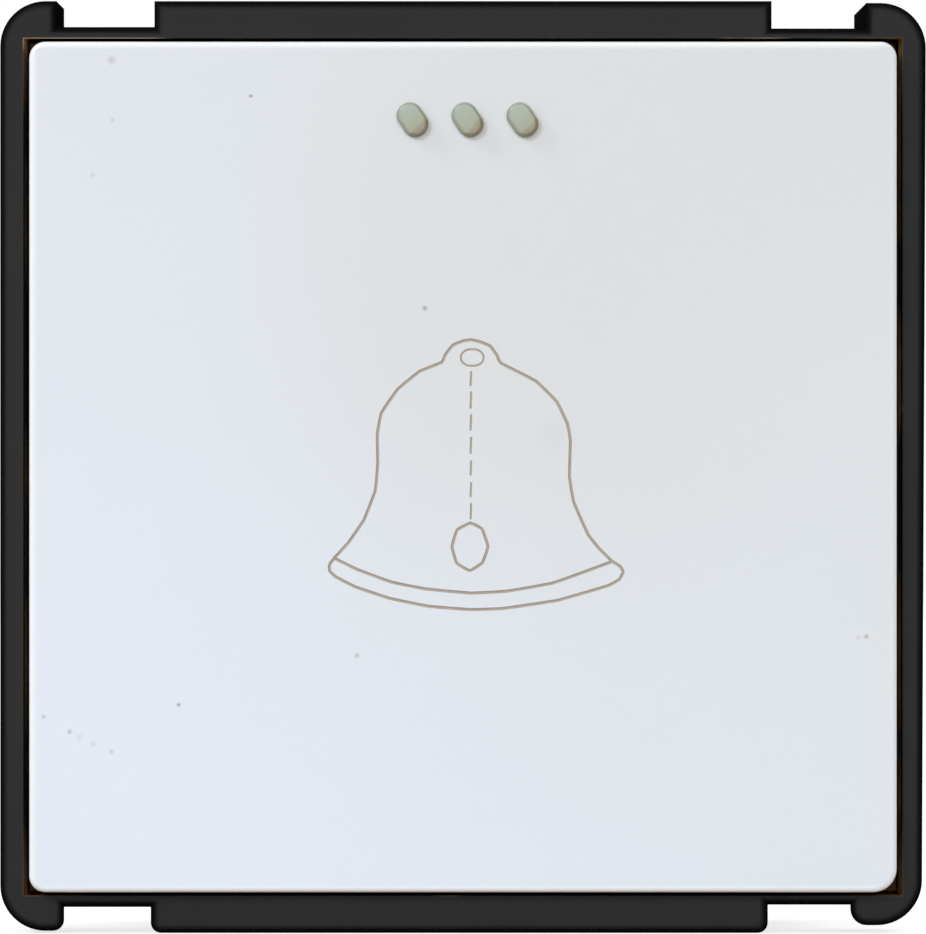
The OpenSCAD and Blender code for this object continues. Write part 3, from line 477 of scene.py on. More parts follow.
def wind(profile, turns, pitch, steps):
    """Winds a profile round Y by so many turns, each a pitch in millimetres further on."""
    bpy.ops.object.modifier_add(type="SCREW")
    made = profile.modifiers[-1]
    made.axis, made.angle, made.iterations = "Y", math.tau, turns
    made.screw_offset = pitch * MM
    made.steps = made.render_steps = steps
    made.use_merge_vertices, made.use_smooth_shade = False, True
    bpy.ops.object.modifier_apply(modifier=made.name)


def coil(name, mean_r, wire_d, y0, y1, turns, x, z):
    """Winds a spring along Y between two wire centres, with one closed turn at each end."""
    closed = wire_d * CLOSED_PITCH
    open_pitch = (y1 - y0 - 2 * closed) / turns
    runs, start = [], y0
    for count, pitch in ((1, closed), (turns, open_pitch), (1, closed)):
        bpy.ops.object.select_all(action="DESELECT")
        bpy.ops.mesh.primitive_circle_add(
            vertices=WIRE_SIDES, radius=wire_d / 2 * MM, location=(mean_r * MM, start * MM, 0))
        run = bpy.context.object
        settle()
        wind(run, count, pitch, WIRE_STEPS)
        runs.append(run)
        start += count * pitch
    spring = join_all(runs, name)
    pick(spring, "VERT")
    bpy.ops.mesh.remove_doubles(threshold=2 * ONE_POINT)
    bpy.ops.mesh.fill_holes(sides=0)
    bpy.ops.mesh.select_all(action="SELECT")
    bpy.ops.mesh.normals_make_consistent(inside=False)
    bpy.ops.object.mode_set(mode="OBJECT")
    spring.location = (x * MM, 0, z * MM)
    settle()
    bpy.ops.object.shade_smooth_by_angle(angle=math.radians(SMOOTH_WIRE))
    return spring


def metal_finish(name, dark, light, roughness, line, spread):
    """Bare metal: lighter and darker streaks that its drawing or cutting left, a line apart."""
    material, place = begin_material(name)
    drawn = add_node(material, "Mapping", {"Vector": place, "Scale": spread}, "Vector")
    streak = add_node(material, "TexNoise", {
        "Vector": drawn, "Scale": 1 / (line * MM), "Detail": 4.0, "Roughness": 0.6}, "Fac")
    tarnish = add_node(material, "TexNoise", {
        "Vector": place, "Scale": 1 / (2.5 * MM), "Detail": 5.0, "Roughness": 0.6}, "Fac")
    mixed = add_node(material, "Mix", {
        "Factor": 0.6, "A": streak, "B": tarnish}, "Result", data_type="FLOAT")
    ramp = add_node(material, "ValToRGB", {"Fac": mixed})
    for end, place_on, code in ((0, 0.32, dark), (1, 0.62, light)):
        ramp.color_ramp.elements[end].position = place_on
        ramp.color_ramp.elements[end].color = linear(code)
    return end_material(material, {
        "Base Color": ramp.outputs["Color"],
        "Roughness": add_node(material, "MapRange", {
            "Value": mixed, "From Min": 0.3, "From Max": 0.7,
            "To Min": roughness + 0.12, "To Max": roughness - 0.06}, "Result"),
        "Normal": add_node(material, "Bump", {
            "Height": streak, "Strength": 0.15, "Distance": 0.005 * MM}, "Normal"),
        "Metallic": 1.0})


spring_steel = metal_finish("drawn_spring_steel", "#8b8e92", "#b3b6ba", 0.3, 0.12, (1, 1, 1))
RETURN_MEAN_R, RETURN_WIRE_D, RETURN_TURNS, RETURN_TRAVEL = 2.1, 0.45, 5, 0.817
for side, word in ((-1, "left"), (1, "right")):
    low, high = (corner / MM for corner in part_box("return_spring_" + word))
    spring = coil("return_coil_" + word, RETURN_MEAN_R, RETURN_WIRE_D, low.y + RETURN_WIRE_D / 2,
                  high.y - RETURN_WIRE_D / 2, RETURN_TURNS,
                  (low.x + high.x) / 2, (low.z + high.z) / 2)
    wear(spring, spring_steel)
    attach(spring, "base")
    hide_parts("return_spring_" + word)
    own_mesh(spring)


# Plunger and contacts: an acetal stem through the deck carries a brass bridge with two silver
# rivets. It closes on two brass strips with silver rivets of their own, riveted to the terminals.
acetal, place = begin_material("natural_acetal")
haze = add_node(acetal, "TexNoise", {
    "Vector": place, "Scale": 1 / (1.5 * MM), "Detail": 3.0}, "Fac")
turned = add_node(acetal, "TexWave", {
    "Vector": place, "Scale": 1 / (0.9 * MM), "Distortion": 0.3}, "Fac", bands_direction="Y")
end_material(acetal, {
    "Base Color": add_node(acetal, "Mix", {
        "Factor": haze, "A": linear("#d6d1c3"), "B": linear("#dfdbd0")}, "Result",
        data_type="RGBA"),
    "Normal": add_node(acetal, "Bump", {
        "Height": turned, "Strength": 0.1, "Distance": 0.005 * MM}, "Normal"),
    "Roughness": 0.38, "Subsurface Weight": 0.15,
    "Subsurface Radius": (0.4 * MM, 0.35 * MM, 0.28 * MM)})
wear(nodes["plunger"], acetal)
brass = metal_finish("rolled_brass", "#a5823c", "#cda656", 0.3, 0.15, (0.1, 1, 1))
silver = metal_finish("headed_silver", "#b9bbba", "#d6d8d6", 0.24, 0.2, (1, 1, 1))
for name in ("contact_bridge", "fixed_contact_left", "fixed_contact_right"):
    wear(nodes[name], brass)
for name in ("bridge_rivets", "fixed_contact_rivets"):
    wear(nodes[name], silver)

# Plunger spring: one longer spring between the bridge and a cup in the rear lid, which lifts the
# bridge off the contacts again. It is wound from the same drawn wire as the return springs.
PLUNGER_MEAN_R, PLUNGER_WIRE_D, PLUNGER_TURNS, PLUNGER_TRAVEL = 2.2, 0.5, 7, 1.18
BRIDGE_BACK, CUP_FLOOR = 2.88, 16.4394
low, high = (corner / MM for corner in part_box("plunger_spring"))
spring = coil("plunger_coil", PLUNGER_MEAN_R, PLUNGER_WIRE_D, low.y + PLUNGER_WIRE_D / 2,
              high.y - PLUNGER_WIRE_D / 2, PLUNGER_TURNS,
              (low.x + high.x) / 2, (low.z + high.z) / 2)
wear(spring, spring_steel)
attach(spring, "base")
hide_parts("plunger_spring")
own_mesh(spring)


# Terminals: a sawn brass pillar on each side with a wire hole from below, and a zinc-plated
# cheese-head clamp screw that comes in from behind.
sawn_brass = metal_finish("sawn_brass_bar", "#a07d39", "#c6a051", 0.34, 0.18, (1, 0.12, 1))
wear(nodes["terminal_block_left"], sawn_brass)
wear(nodes["terminal_block_right"], sawn_brass)
THREAD_STEPS = 24


def threaded_rod(core_r, crest_r, pitch, y0, y1, x, z):
    """Cuts a threaded rod along Y: one V of the thread is wound up the rod and trimmed flat."""
    turns = math.ceil((y1 - y0) / pitch) + 2
    bpy.ops.object.select_all(action="DESELECT")
    bpy.ops.mesh.primitive_plane_add(size=1)
    rod = bpy.context.object
    pick(rod, "VERT", lambda points: points[0].x < 0 and points[0].y > 0)
    bpy.ops.mesh.delete(type="VERT")
    bpy.ops.object.mode_set(mode="OBJECT")
    rod.rotation_euler.z = math.pi / 4
    settle()
    rod.scale = ((crest_r - core_r) * math.sqrt(2) * MM, pitch / math.sqrt(2) * MM, 1)
    rod.location = (core_r * MM, (y0 - pitch) * MM, 0)
    settle()
    wind(rod, turns, pitch, THREAD_STEPS)
    pick(rod, "VERT")
    bpy.ops.mesh.remove_doubles(threshold=2 * ONE_POINT)
    for y, keeps in ((y0, "outer"), (y1, "inner")):
        bpy.ops.mesh.select_all(action="SELECT")
        bpy.ops.mesh.bisect(plane_co=(0, y * MM, 0), plane_no=(0, 1, 0), use_fill=True,
                            clear_inner=keeps == "outer", clear_outer=keeps == "inner")
    bpy.ops.mesh.select_all(action="SELECT")
    bpy.ops.mesh.normals_make_consistent(inside=False)
    bpy.ops.object.mode_set(mode="OBJECT")
    rod.location = (x * MM, 0, z * MM)
    settle()
    return rod


CLAMP_R, CLAMP_CORE_R, CLAMP_PITCH, CLAMP_HEAD_R, CLAMP_HEAD_H = 1.5, 1.2, 0.5, 2.6, 1.8
CLAMP_SLOT_W, CLAMP_EDGE_R, SCREW_EDGE = 0.8, 0.35, 0.04
low, high = (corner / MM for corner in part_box("terminal_screws"))
clamp_x, clamp_z = high.x - CLAMP_HEAD_R, (low.z + high.z) / 2
head_front = high.y - CLAMP_HEAD_H
screws = []
for side in (-1, 1):
    screw = disc("screw", CLAMP_HEAD_R, head_front, high.y, side * clamp_x, clamp_z)
    round_edges(screw, CLAMP_EDGE_R, 4, behind(high.y))
    x0, x1 = (side * clamp_x + end * (CLAMP_HEAD_R + PAST) for end in (-1, 1))
    z0, z1 = (clamp_z + end * CLAMP_SLOT_W / 2 for end in (-1, 1))
    combine(screw, block("slot", (x0, high.y - CLAMP_HEAD_H / 2, z0), (x1, high.y + PAST, z1)),
            "DIFFERENCE")
    break_edges(screw, SCREW_EDGE)
    combine(screw, threaded_rod(CLAMP_CORE_R, CLAMP_R, CLAMP_PITCH, low.y,
                                head_front + CLAMP_HEAD_H / 4, side * clamp_x, clamp_z), "UNION")
    screws.append(screw)
screws = join_all(screws, "terminal_screw_pair")
break_edges(screws, 0)
zinc = metal_finish("bright_zinc_plate", "#90959a", "#c3c7c8", 0.3, 0.16, (1, 1, 1))
wear(screws, zinc)
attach(screws, "base")
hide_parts("terminal_screws")


# Rear cover: the four walls round the base's spigot that clamp the frame's lip. It is compression
# moulded in the same brown phenolic, with a screw column in each corner and two wire holes.
COVER_W, COVER_H, COVER_FRONT, LID_FRONT = 39.52, 38.46, -0.4, 18.2
COVER_CORNER_R, COVER_WALL, SPIGOT_BACK, LID_BOSS_FRONT = 1.6, 1.5, 6.0, 15.8
CASE_X, CASE_Z, COLUMN_R, SCREW_BORE_R = 15.96, 15.43, 2.2, 1.2
WIRE_HOLE_R, WIRE_Y, WIRE_LIP = 1.9, 9.5394, 0.35
OVERLAP, MOULD_EDGE = 0.1, 0.08
corners = [(x, z) for x in (-CASE_X, CASE_X) for z in (-CASE_Z, CASE_Z)]


def corner_block(name, x, z, y0, y1, reach):
    """Adds the square column of a case corner, out to a reach past the cover's inner walls."""
    x0, x1 = sorted((x - math.copysign(COLUMN_R, x), math.copysign(LIP_HOLE_W / 2 + reach, x)))
    z0, z1 = sorted((z - math.copysign(COLUMN_R, z), math.copysign(LIP_HOLE_H / 2 + reach, z)))
    return block(name, (x0, y0, z0), (x1, y1, z1))


cover = block("cover_walls", (-COVER_W / 2, COVER_FRONT, -COVER_H / 2),
              (COVER_W / 2, LID_FRONT, COVER_H / 2))
round_edges(cover, COVER_CORNER_R, 10, along_y())
combine(cover, block("hollow", (-LIP_HOLE_W / 2, COVER_FRONT - PAST, -LIP_HOLE_H / 2),
                     (LIP_HOLE_W / 2, LID_FRONT + PAST, LIP_HOLE_H / 2)), "DIFFERENCE")
for x, z in corners:
    combine(cover, corner_block("column", x, z, SPIGOT_BACK, LID_BOSS_FRONT, OVERLAP), "UNION")
    combine(cover, disc("bore", SCREW_BORE_R, SPIGOT_BACK - PAST, LID_FRONT, x, z), "DIFFERENCE")
for side in (-1, 1):
    for radius, deep in ((WIRE_HOLE_R, COVER_WALL + PAST), (WIRE_HOLE_R + WIRE_LIP, WIRE_LIP)):
        bpy.ops.object.select_all(action="DESELECT")
        bpy.ops.mesh.primitive_cone_add(
            vertices=48, radius1=radius * MM, radius2=WIRE_HOLE_R * MM, depth=deep * MM,
            location=(side * clamp_x * MM, WIRE_Y * MM, (deep - COVER_H - 2 * NEAR) / 2 * MM))
        hole = bpy.context.object
        settle()
        combine(cover, hole, "DIFFERENCE")
clean_flats(cover)
break_edges(cover, MOULD_EDGE)
brown_phenolic = phenolic_finish("brown_phenolic_cover", "#331d0d", "#52331c")
wear(cover, brown_phenolic)
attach(cover, "base")
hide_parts("rear_cover")


# Rear lid: the plate that closes the cover, of the same phenolic. It has a boss in each corner for
# a screw head, a screwdriver well behind each terminal, and the cup of the plunger spring.
LID_BACK, LID_EDGE_R, HEAD_BORE_R, HEAD_FRONT = 20.0, 0.8, 2.12, 17.8
WELL_R, WELL_WALL, WELL_FRONT, CUP_R, CUP_BORE_R, CUP_Z = 3.0, 1.0, 14.4394, 4.1, 2.7, -10.0
RELIEF_DEPTH, RELIEF_X0, RELIEF_X1, RELIEF_R = 0.6, 1.5, 13.46, 0.7
EJECTOR_R, EJECTOR_DEPTH, FIT_GAP = 1.3, 0.12, 0.1
lid = block("lid_moulding", (-COVER_W / 2, LID_FRONT, -COVER_H / 2),
            (COVER_W / 2, LID_BACK, COVER_H / 2))
round_edges(lid, COVER_CORNER_R, 10, along_y())
round_edges(lid, LID_EDGE_R, 5, behind(LID_BACK))
for x, z in corners:
    boss = corner_block("boss", x, z, LID_BOSS_FRONT + FIT_GAP, LID_FRONT + OVERLAP, -FIT_GAP)
    combine(lid, boss, "UNION")
for side in (-1, 1):
    combine(lid, disc("well", WELL_R + WELL_WALL, WELL_FRONT, LID_FRONT + OVERLAP,
                      side * clamp_x, clamp_z, 64), "UNION")
combine(lid, disc("cup", CUP_R, WELL_FRONT, LID_FRONT + OVERLAP, 0, CUP_Z, 64), "UNION")
combine(lid, disc("cup_bore", CUP_BORE_R, WELL_FRONT - PAST, CUP_FLOOR, 0, CUP_Z, 64), "DIFFERENCE")
for x, z in corners:
    combine(lid, disc("bore", SCREW_BORE_R, LID_BOSS_FRONT, LID_BACK + PAST, x, z), "DIFFERENCE")
    combine(lid, disc("head_bore", HEAD_BORE_R, HEAD_FRONT, LID_BACK + PAST, x, z, 64),
            "DIFFERENCE")
for side in (-1, 1):
    combine(lid, disc("well_bore", WELL_R, WELL_FRONT - PAST, LID_BACK + PAST,
                      side * clamp_x, clamp_z, 64), "DIFFERENCE")
    x0, x1 = sorted((side * RELIEF_X0, side * RELIEF_X1))
    relief = block("relief", (x0, LID_BACK - RELIEF_DEPTH, 0), (x1, LID_BACK + PAST, CASE_Z))
    round_edges(relief, RELIEF_R, 5, along_y())
    combine(lid, relief, "DIFFERENCE")
    combine(lid, disc("ejector", EJECTOR_R, LID_BACK - RELIEF_DEPTH - EJECTOR_DEPTH,
                      LID_BACK + PAST, side * (RELIEF_X0 + RELIEF_X1) / 2, CASE_Z / 2, 64),
            "DIFFERENCE")
clean_flats(lid)
break_edges(lid, MOULD_EDGE)
wear(lid, brown_phenolic)
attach(lid, "base")
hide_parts("rear_lid")


# Case screws: four long zinc-plated self-tapping screws from the lid through the cover into the
# base's columns. The pan heads lie in counterbores, with a pressed cross recess.
CASE_HEAD_R, CASE_HEAD_H, CASE_DOME_R = 2.0, 1.6, 0.38
CASE_R, CASE_CORE_R, CASE_PITCH, CASE_PLAIN, SHANK_R = 1.08, 0.8, 0.8, 10.0, 1.12
CROSS_LEN, CROSS_W, CROSS_DEPTH = 2.8, 0.6, 1.0
low, high = (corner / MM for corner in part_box("case_screws"))
screws = []
for x, z in corners:
    screw = disc("screw", CASE_HEAD_R, high.y - CASE_HEAD_H, high.y, x, z)
    round_edges(screw, CASE_DOME_R, 5, behind(high.y))
    for w, h in ((CROSS_LEN, CROSS_W), (CROSS_W, CROSS_LEN)):
        combine(screw, block("cross", (x - w / 2, high.y - CROSS_DEPTH, z - h / 2),
                             (x + w / 2, high.y + PAST, z + h / 2)), "DIFFERENCE")
    break_edges(screw, SCREW_EDGE)
    combine(screw, disc("shank", SHANK_R, high.y - CASE_PLAIN, high.y - CASE_HEAD_H * 0.8,
                        x, z, 32), "UNION")
    combine(screw, threaded_rod(CASE_CORE_R, CASE_R, CASE_PITCH, low.y,
                                high.y - CASE_PLAIN + OVERLAP, x, z), "UNION")
    screws.append(screw)
screws = join_all(screws, "case_screw_set")
break_edges(screws, 0)
wear(screws, zinc)
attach(screws, "base")
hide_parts("case_screws")


# Key carrier: the ribbed cradle behind the push plate, injection moulded in dark grey nylon. It
# hangs from two ground steel pins at the top and carries the nose that presses the plunger.
NYLON_FLOW, NYLON_GRAIN = 4.0, 0.2
nylon, place = begin_material("dark_grey_nylon")
flow = add_node(nylon, "TexNoise", {
    "Vector": place, "Scale": 1 / (NYLON_FLOW * MM), "Detail": 5.0, "Roughness": 0.6,
    "Distortion": 1.0}, "Fac")
grain = add_node(nylon, "TexNoise", {
    "Vector": place, "Scale": 1 / (NYLON_GRAIN * MM), "Detail": 2.0}, "Fac")
end_material(nylon, {
    "Base Color": add_node(nylon, "Mix", {
        "Factor": flow, "A": linear("#343639"), "B": linear("#414347")}, "Result",
        data_type="RGBA"),
    "Normal": add_node(nylon, "Bump", {
        "Height": grain, "Strength": 0.2, "Distance": 0.01 * MM}, "Normal"),
    "Roughness": 0.5})
wear(nodes["key_carrier"], nylon)
wear(nodes["hinge_pins"],
     metal_finish("ground_steel_pin", "#9b9ea2", "#bfc2c5", 0.22, 0.1, (0.2, 1, 1)))


# Push plate: the white cap that the finger presses, moulded in white ABS with a fine satin front.
# It clips to the carrier by four hooks, and its bell is engraved and filled with tan paint. Its
# lower right corner is rounder than the others.
PLATE_W, PLATE_H, PLATE_FRONT, PLATE_BACK, SKIRT_BACK = 42.12, 41.30, -10.5, -8.7, -6.7
SKIRT_WALL, PLATE_CORNER_R, WORN_CORNER_R, PLATE_EDGE_R = 1.2, 0.78, 1.15, 0.25
HOOK_X, HOOK_T, HOOK_CATCH, HOOK_NOSE, HOOK_W, HOOK_Z = 16.66, 1.2, 0.7, 0.8, 4.0, 8.0
HOOK_CATCH_Y = -5.85
STUD_X, STUD_PITCH, STUD_Z, STUD_LEAN = 0.22, 2.67, 16.86, 33.0
STUD_R, STUD_STRAIGHT, STUD_GAP, STUD_ROUND = 0.615, 0.5, 0.012, 0.98
PEG_X, PEG_R, PEG_GAP, PEG_HEAD_R, PEG_HEAD_T, STRIP_BACK = 5.5, 0.6, 0.05, 1.0, 0.4, -7.8
plate = block("push_plate_cap", (-PLATE_W / 2, PLATE_FRONT, -PLATE_H / 2),
              (PLATE_W / 2, SKIRT_BACK, PLATE_H / 2))
round_edges(plate, PLATE_CORNER_R, 8, along_y(lambda x, z: x < 0 or z > 0))
round_edges(plate, WORN_CORNER_R, 8, along_y(lambda x, z: x > 0 and z < 0))
round_edges(plate, PLATE_EDGE_R, 6, ahead_of(PLATE_FRONT))
combine(plate, block("hollow", (SKIRT_WALL - PLATE_W / 2, PLATE_BACK, SKIRT_WALL - PLATE_H / 2),
                     (PLATE_W / 2 - SKIRT_WALL, SKIRT_BACK + PAST, PLATE_H / 2 - SKIRT_WALL)),
        "DIFFERENCE")
for side in (-1, 1):
    for end in (-1, 1):
        x0, x1 = sorted((side * HOOK_X, side * (HOOK_X + HOOK_T)))
        z0, z1 = end * HOOK_Z - HOOK_W / 2, end * HOOK_Z + HOOK_W / 2
        nose = HOOK_CATCH_Y + HOOK_NOSE
        combine(plate, block("arm", (x0, PLATE_BACK - OVERLAP, z0), (x1, nose, z1)), "UNION")
        x0, x1 = sorted((side * (HOOK_X - HOOK_CATCH), side * (HOOK_X + OVERLAP)))
        catch = block("catch", (x0, HOOK_CATCH_Y, z0), (x1, nose, z1))
        shift(catch, (side * (HOOK_CATCH - NEAR), 0, 0),
              lambda p: abs(p.x) < HOOK_X - NEAR and p.y > nose - NEAR)
        combine(plate, catch, "UNION")
for side in (-1, 1):
    x = STUD_X + side * PEG_X
    combine(plate, disc("peg", PEG_R, PLATE_BACK - OVERLAP, STRIP_BACK + OVERLAP + PEG_HEAD_T,
                        x, STUD_Z, 32), "UNION")
    head = disc("peg_head", PEG_HEAD_R, STRIP_BACK + OVERLAP, STRIP_BACK + OVERLAP + PEG_HEAD_T,
                x, STUD_Z, 32)
    combine(plate, head, "UNION")


def stud_form(name, grow, y0, y1, x):
    """Adds a leaning capsule along Y: a block with its long edges rounded, turned in its place."""
    wide, long = STUD_R + grow, STUD_R + STUD_STRAIGHT / 2 + grow
    form = block(name, (-wide, y0, -long), (wide, y1, long))
    round_edges(form, wide * STUD_ROUND, 12, along_y())
    form.rotation_euler = (0, -math.radians(STUD_LEAN), 0)
    form.location = (x * MM, 0, STUD_Z * MM)
    settle()
    return form


stud_places = [STUD_X + i * STUD_PITCH for i in (-1, 0, 1)]
for x in stud_places:
    combine(plate, stud_form("stud_hole", STUD_GAP, PLATE_FRONT - PAST, PLATE_BACK + PAST, x),
            "DIFFERENCE")

# The bell as an engraver draws it, in millimetres across and up from the plate's middle: the
# outline with its hanging loop, the upper line of the lip, the ring, the clapper and the rope in
# dashes. Each has its cuts per stroke, which keep the strokes straight and soften the bends.
LINE_R, DASH_R, LINE_LIFT, LINE_EDGE = 0.078, 0.056, 0.02, 0.005
BELL_REACH_X, BELL_REACH_Z = 9, 8
bell_lines = [
    ([(-1.00, 5.08), (-2.12, 4.65), (-3.18, 3.78), (-3.99, 2.61), (-4.17, 1.55), (-4.13, 0.21),
      (-4.24, -1.13), (-4.80, -2.58), (-5.58, -3.70), (-6.25, -4.42), (-6.49, -4.75), (-6.47, -5.06),
      (-6.20, -5.32), (-5.24, -5.82), (-3.57, -6.38), (-1.67, -6.77), (0.39, -6.93), (1.90, -6.88),
      (4.58, -6.49), (7.10, -5.75), (7.60, -5.46), (7.79, -5.10), (7.66, -4.84), (7.20, -4.55),
      (6.60, -3.95), (6.08, -3.31), (5.36, -1.69), (5.16, -0.46), (5.22, 1.32), (5.08, 2.10),
      (4.58, 3.16), (3.57, 4.17), (1.79, 5.06), (1.67, 5.40), (1.34, 5.87), (0.89, 6.06),
      (0.39, 6.18), (0.0, 6.12), (-0.50, 5.92), (-0.86, 5.45)], True, 2, LINE_R),
    ([(-6.20, -4.45), (-5.13, -4.98), (-3.46, -5.60), (-1.79, -5.93), (0.39, -6.13), (2.12, -6.04),
      (4.35, -5.65), (6.03, -5.04), (7.22, -4.60)], False, 2, LINE_R),
    ([(-0.10, 5.31), (0.05, 5.60), (0.45, 5.71), (0.85, 5.60), (1.00, 5.31), (0.85, 5.02),
      (0.45, 4.91), (0.05, 5.02)], True, 0, DASH_R),
    ([(0.36, -2.70), (0.93, -2.98), (1.24, -3.86), (0.96, -4.66), (0.33, -5.06), (-0.32, -4.68),
      (-0.55, -3.86), (-0.30, -3.04)], True, 2, LINE_R),
]
for top, foot in ((4.65, 3.94), (3.67, 2.83), (2.55, 1.77), (1.46, 0.65), (0.32, -0.41),
                  (-0.74, -1.47), (-1.75, -2.54)):
    bell_lines.append(([(0.40, top), (0.37, foot)], False, 2, DASH_R))


def engraving_tool(points, closed, cuts, radius):
    """Makes a round-nosed cutter that follows a line on the plate's front."""
    bpy.ops.object.select_all(action="DESELECT")
    bpy.ops.curve.primitive_bezier_curve_add(enter_editmode=True)
    bpy.ops.curve.select_all(action="SELECT")
    bpy.ops.curve.delete(type="VERT")
    for x, z in points:
        bpy.ops.curve.vertex_add(location=(x * MM, (PLATE_FRONT - LINE_LIFT) * MM, z * MM))
    bpy.ops.curve.select_all(action="SELECT")
    if closed:
        bpy.ops.curve.cyclic_toggle()
    bpy.ops.curve.handle_type_set(type="VECTOR")
    if cuts:
        bpy.ops.curve.subdivide(number_cuts=cuts)
        bpy.ops.curve.smooth()
    else:
        bpy.ops.curve.handle_type_set(type="AUTOMATIC")
    bpy.ops.object.mode_set(mode="OBJECT")
    tool = bpy.context.object
    tool.data.dimensions = "3D"
    tool.data.bevel_depth, tool.data.bevel_resolution = radius * MM, 3
    tool.data.resolution_u, tool.data.use_fill_caps = 1 if cuts else 6, True
    bpy.ops.object.convert(target="MESH")
    tool = bpy.context.object
    pick(tool, "VERT")
    bpy.ops.mesh.remove_doubles(threshold=0.1 * ONE_POINT)
    bpy.ops.object.mode_set(mode="OBJECT")
    return tool


for line in bell_lines:
    combine(plate, engraving_tool(*line), "DIFFERENCE")
break_edges(plate, 0)

# White ABS: the mould's fine satin grain, about 0.08 mm and drawn at 0.14 mm so that it shows. The
# white drifts in tone, is painted lighter and cooler towards the lower left as painted light, and
# is greyed by fingers round the middle. Painted highlights run along the edges, and the underside
# of the lower edge is painted cream, painted warm light bounced from below. A tan tint at the lower
# right of each stud is painted shadow colour, partly grime. A few small marks are scattered on the
# plate, each with its place, radius and strength.
SATIN, DRIFT, EDGE_TURN, HIGHLIGHT_BAND = 0.14, 14.0, 0.985, 0.4
SHADOW_TINT_OFF, SHADOW_TINT_R, SHINE_X = 0.25, 0.88, (19.9, 20.6)
FINGER_X, FINGER_Z, FINGER_REACH = 4, 8, (19, 2)
MARKS = (
    (-17.06, 19.76, 0.32, 0.30), (-10.30, 18.01, 0.15, 0.75), (-17.01, 16.84, 0.17, 0.25),
    (-17.98, 14.17, 0.20, 0.20), (-1.85, 7.71, 0.19, 0.65), (19.58, -8.23, 0.17, 0.55),
    (19.20, -8.28, 0.22, 0.15), (-20.36, -12.12, 0.17, 0.40), (-19.10, -12.85, 0.17, 0.50),
    (-18.60, -13.10, 0.22, 0.16), (-17.95, -13.45, 0.22, 0.16), (-17.06, -13.82, 0.17, 0.35),
    (-13.80, -11.54, 0.15, 0.75), (-5.15, -9.16, 0.19, 0.40), (4.40, 1.60, 1.30, 0.05))
white, place = begin_material("white_satin_abs")
flat = add_node(white, "VectorMath", {0: place, 1: (1, 0, 1)}, "Vector",
                operation="MULTIPLY")
satin = add_node(white, "TexNoise", {
    "Vector": place, "Scale": 1 / (SATIN * MM), "Detail": 2.0, "Roughness": 0.55}, "Fac")
drift = add_node(white, "TexNoise", {
    "Vector": place, "Scale": 1 / (DRIFT * MM), "Detail": 3.0, "Roughness": 0.5}, "Fac")
# Painted light: the white is lighter and cooler towards the lower left, on top of its random drift
# in tone.
painted_light_slope = add_node(white, "VectorMath", {
    0: place, 1: (-1 / (PLATE_W * 1.8 * MM), 0, -1 / (PLATE_H * 1.7 * MM))}, "Value",
    operation="DOT_PRODUCT")
drift_and_light_slope = add_node(white, "Math", {0: drift, 1: 0.25, 2: painted_light_slope}, "Value", operation="MULTIPLY_ADD")
mottle = add_node(white, "Math", {0: satin, 1: 0.4, 2: drift_and_light_slope}, "Value", operation="MULTIPLY_ADD")
cool = add_node(white, "MapRange", {
    "Value": mottle, "From Min": -0.175, "From Max": 0.825}, "Result")
colour = add_node(white, "Mix", {
    "Factor": cool, "A": linear("#d6dadc"), "B": linear("#e4ebf5")}, "Result", data_type="RGBA")
reach = add_node(white, "VectorMath", {0: flat, 1: (FINGER_X * MM, 0, FINGER_Z * MM)}, "Value",
                 operation="DISTANCE")
fingers = add_node(white, "MapRange", {
    "Value": reach, "From Min": FINGER_REACH[0] * MM, "From Max": FINGER_REACH[1] * MM,
    "To Max": 0.6}, "Result", interpolation_type="SMOOTHSTEP")


def spots(places):
    """Adds soft round spots to the white, each with its place, radius and strength."""
    found = 0.0
    for x, z, radius, strength in places:
        away = add_node(white, "VectorMath", {0: flat, 1: (x * MM, 0, z * MM)}, "Value",
                        operation="DISTANCE")
        spot = add_node(white, "MapRange", {
            "Value": away, "From Min": radius * MM, "From Max": 0.0, "To Max": strength}, "Result",
            interpolation_type="SMOOTHSTEP")
        found = add_node(white, "Math", {0: found, 1: spot}, "Value", operation="MAXIMUM")
    return found


marks = spots(MARKS)
# Painted shadow colour, partly grime: a tan tint offset to the lower right of each stud, where its
# shadow falls.
shadow_tint_and_soil = spots([(x + SHADOW_TINT_OFF, STUD_Z - SHADOW_TINT_OFF, SHADOW_TINT_R, 1.0) for x in stud_places])
normal = add_node(white, "SeparateXYZ", {
    "Vector": add_node(white, "TexCoord", give="Normal")})
# Painted highlight: the rounded edge, where its normal turns from the front, is painted near white.
edge_highlight = add_node(white, "MapRange", {
    "Value": normal.outputs["Y"], "From Min": -EDGE_TURN, "From Max": -0.75}, "Result")
# Painted light: faces turned down, the lower edge's underside, are painted cream for warm light
# bounced onto them.
underside_bounce_light = add_node(white, "MapRange", {
    "Value": normal.outputs["Z"], "From Min": -0.45, "From Max": -0.8}, "Result")
spread = add_node(white, "VectorMath", {
    0: place, 1: (2 / (PLATE_W * MM), 0, 2 / (PLATE_H * MM))}, "Vector", operation="MULTIPLY")
spread = add_node(white, "SeparateXYZ", {
    "Vector": add_node(white, "VectorMath", {0: spread}, "Vector", operation="ABSOLUTE")})
outer = add_node(white, "Math", {
    0: spread.outputs["X"], 1: spread.outputs["Z"]}, "Value", operation="MAXIMUM")
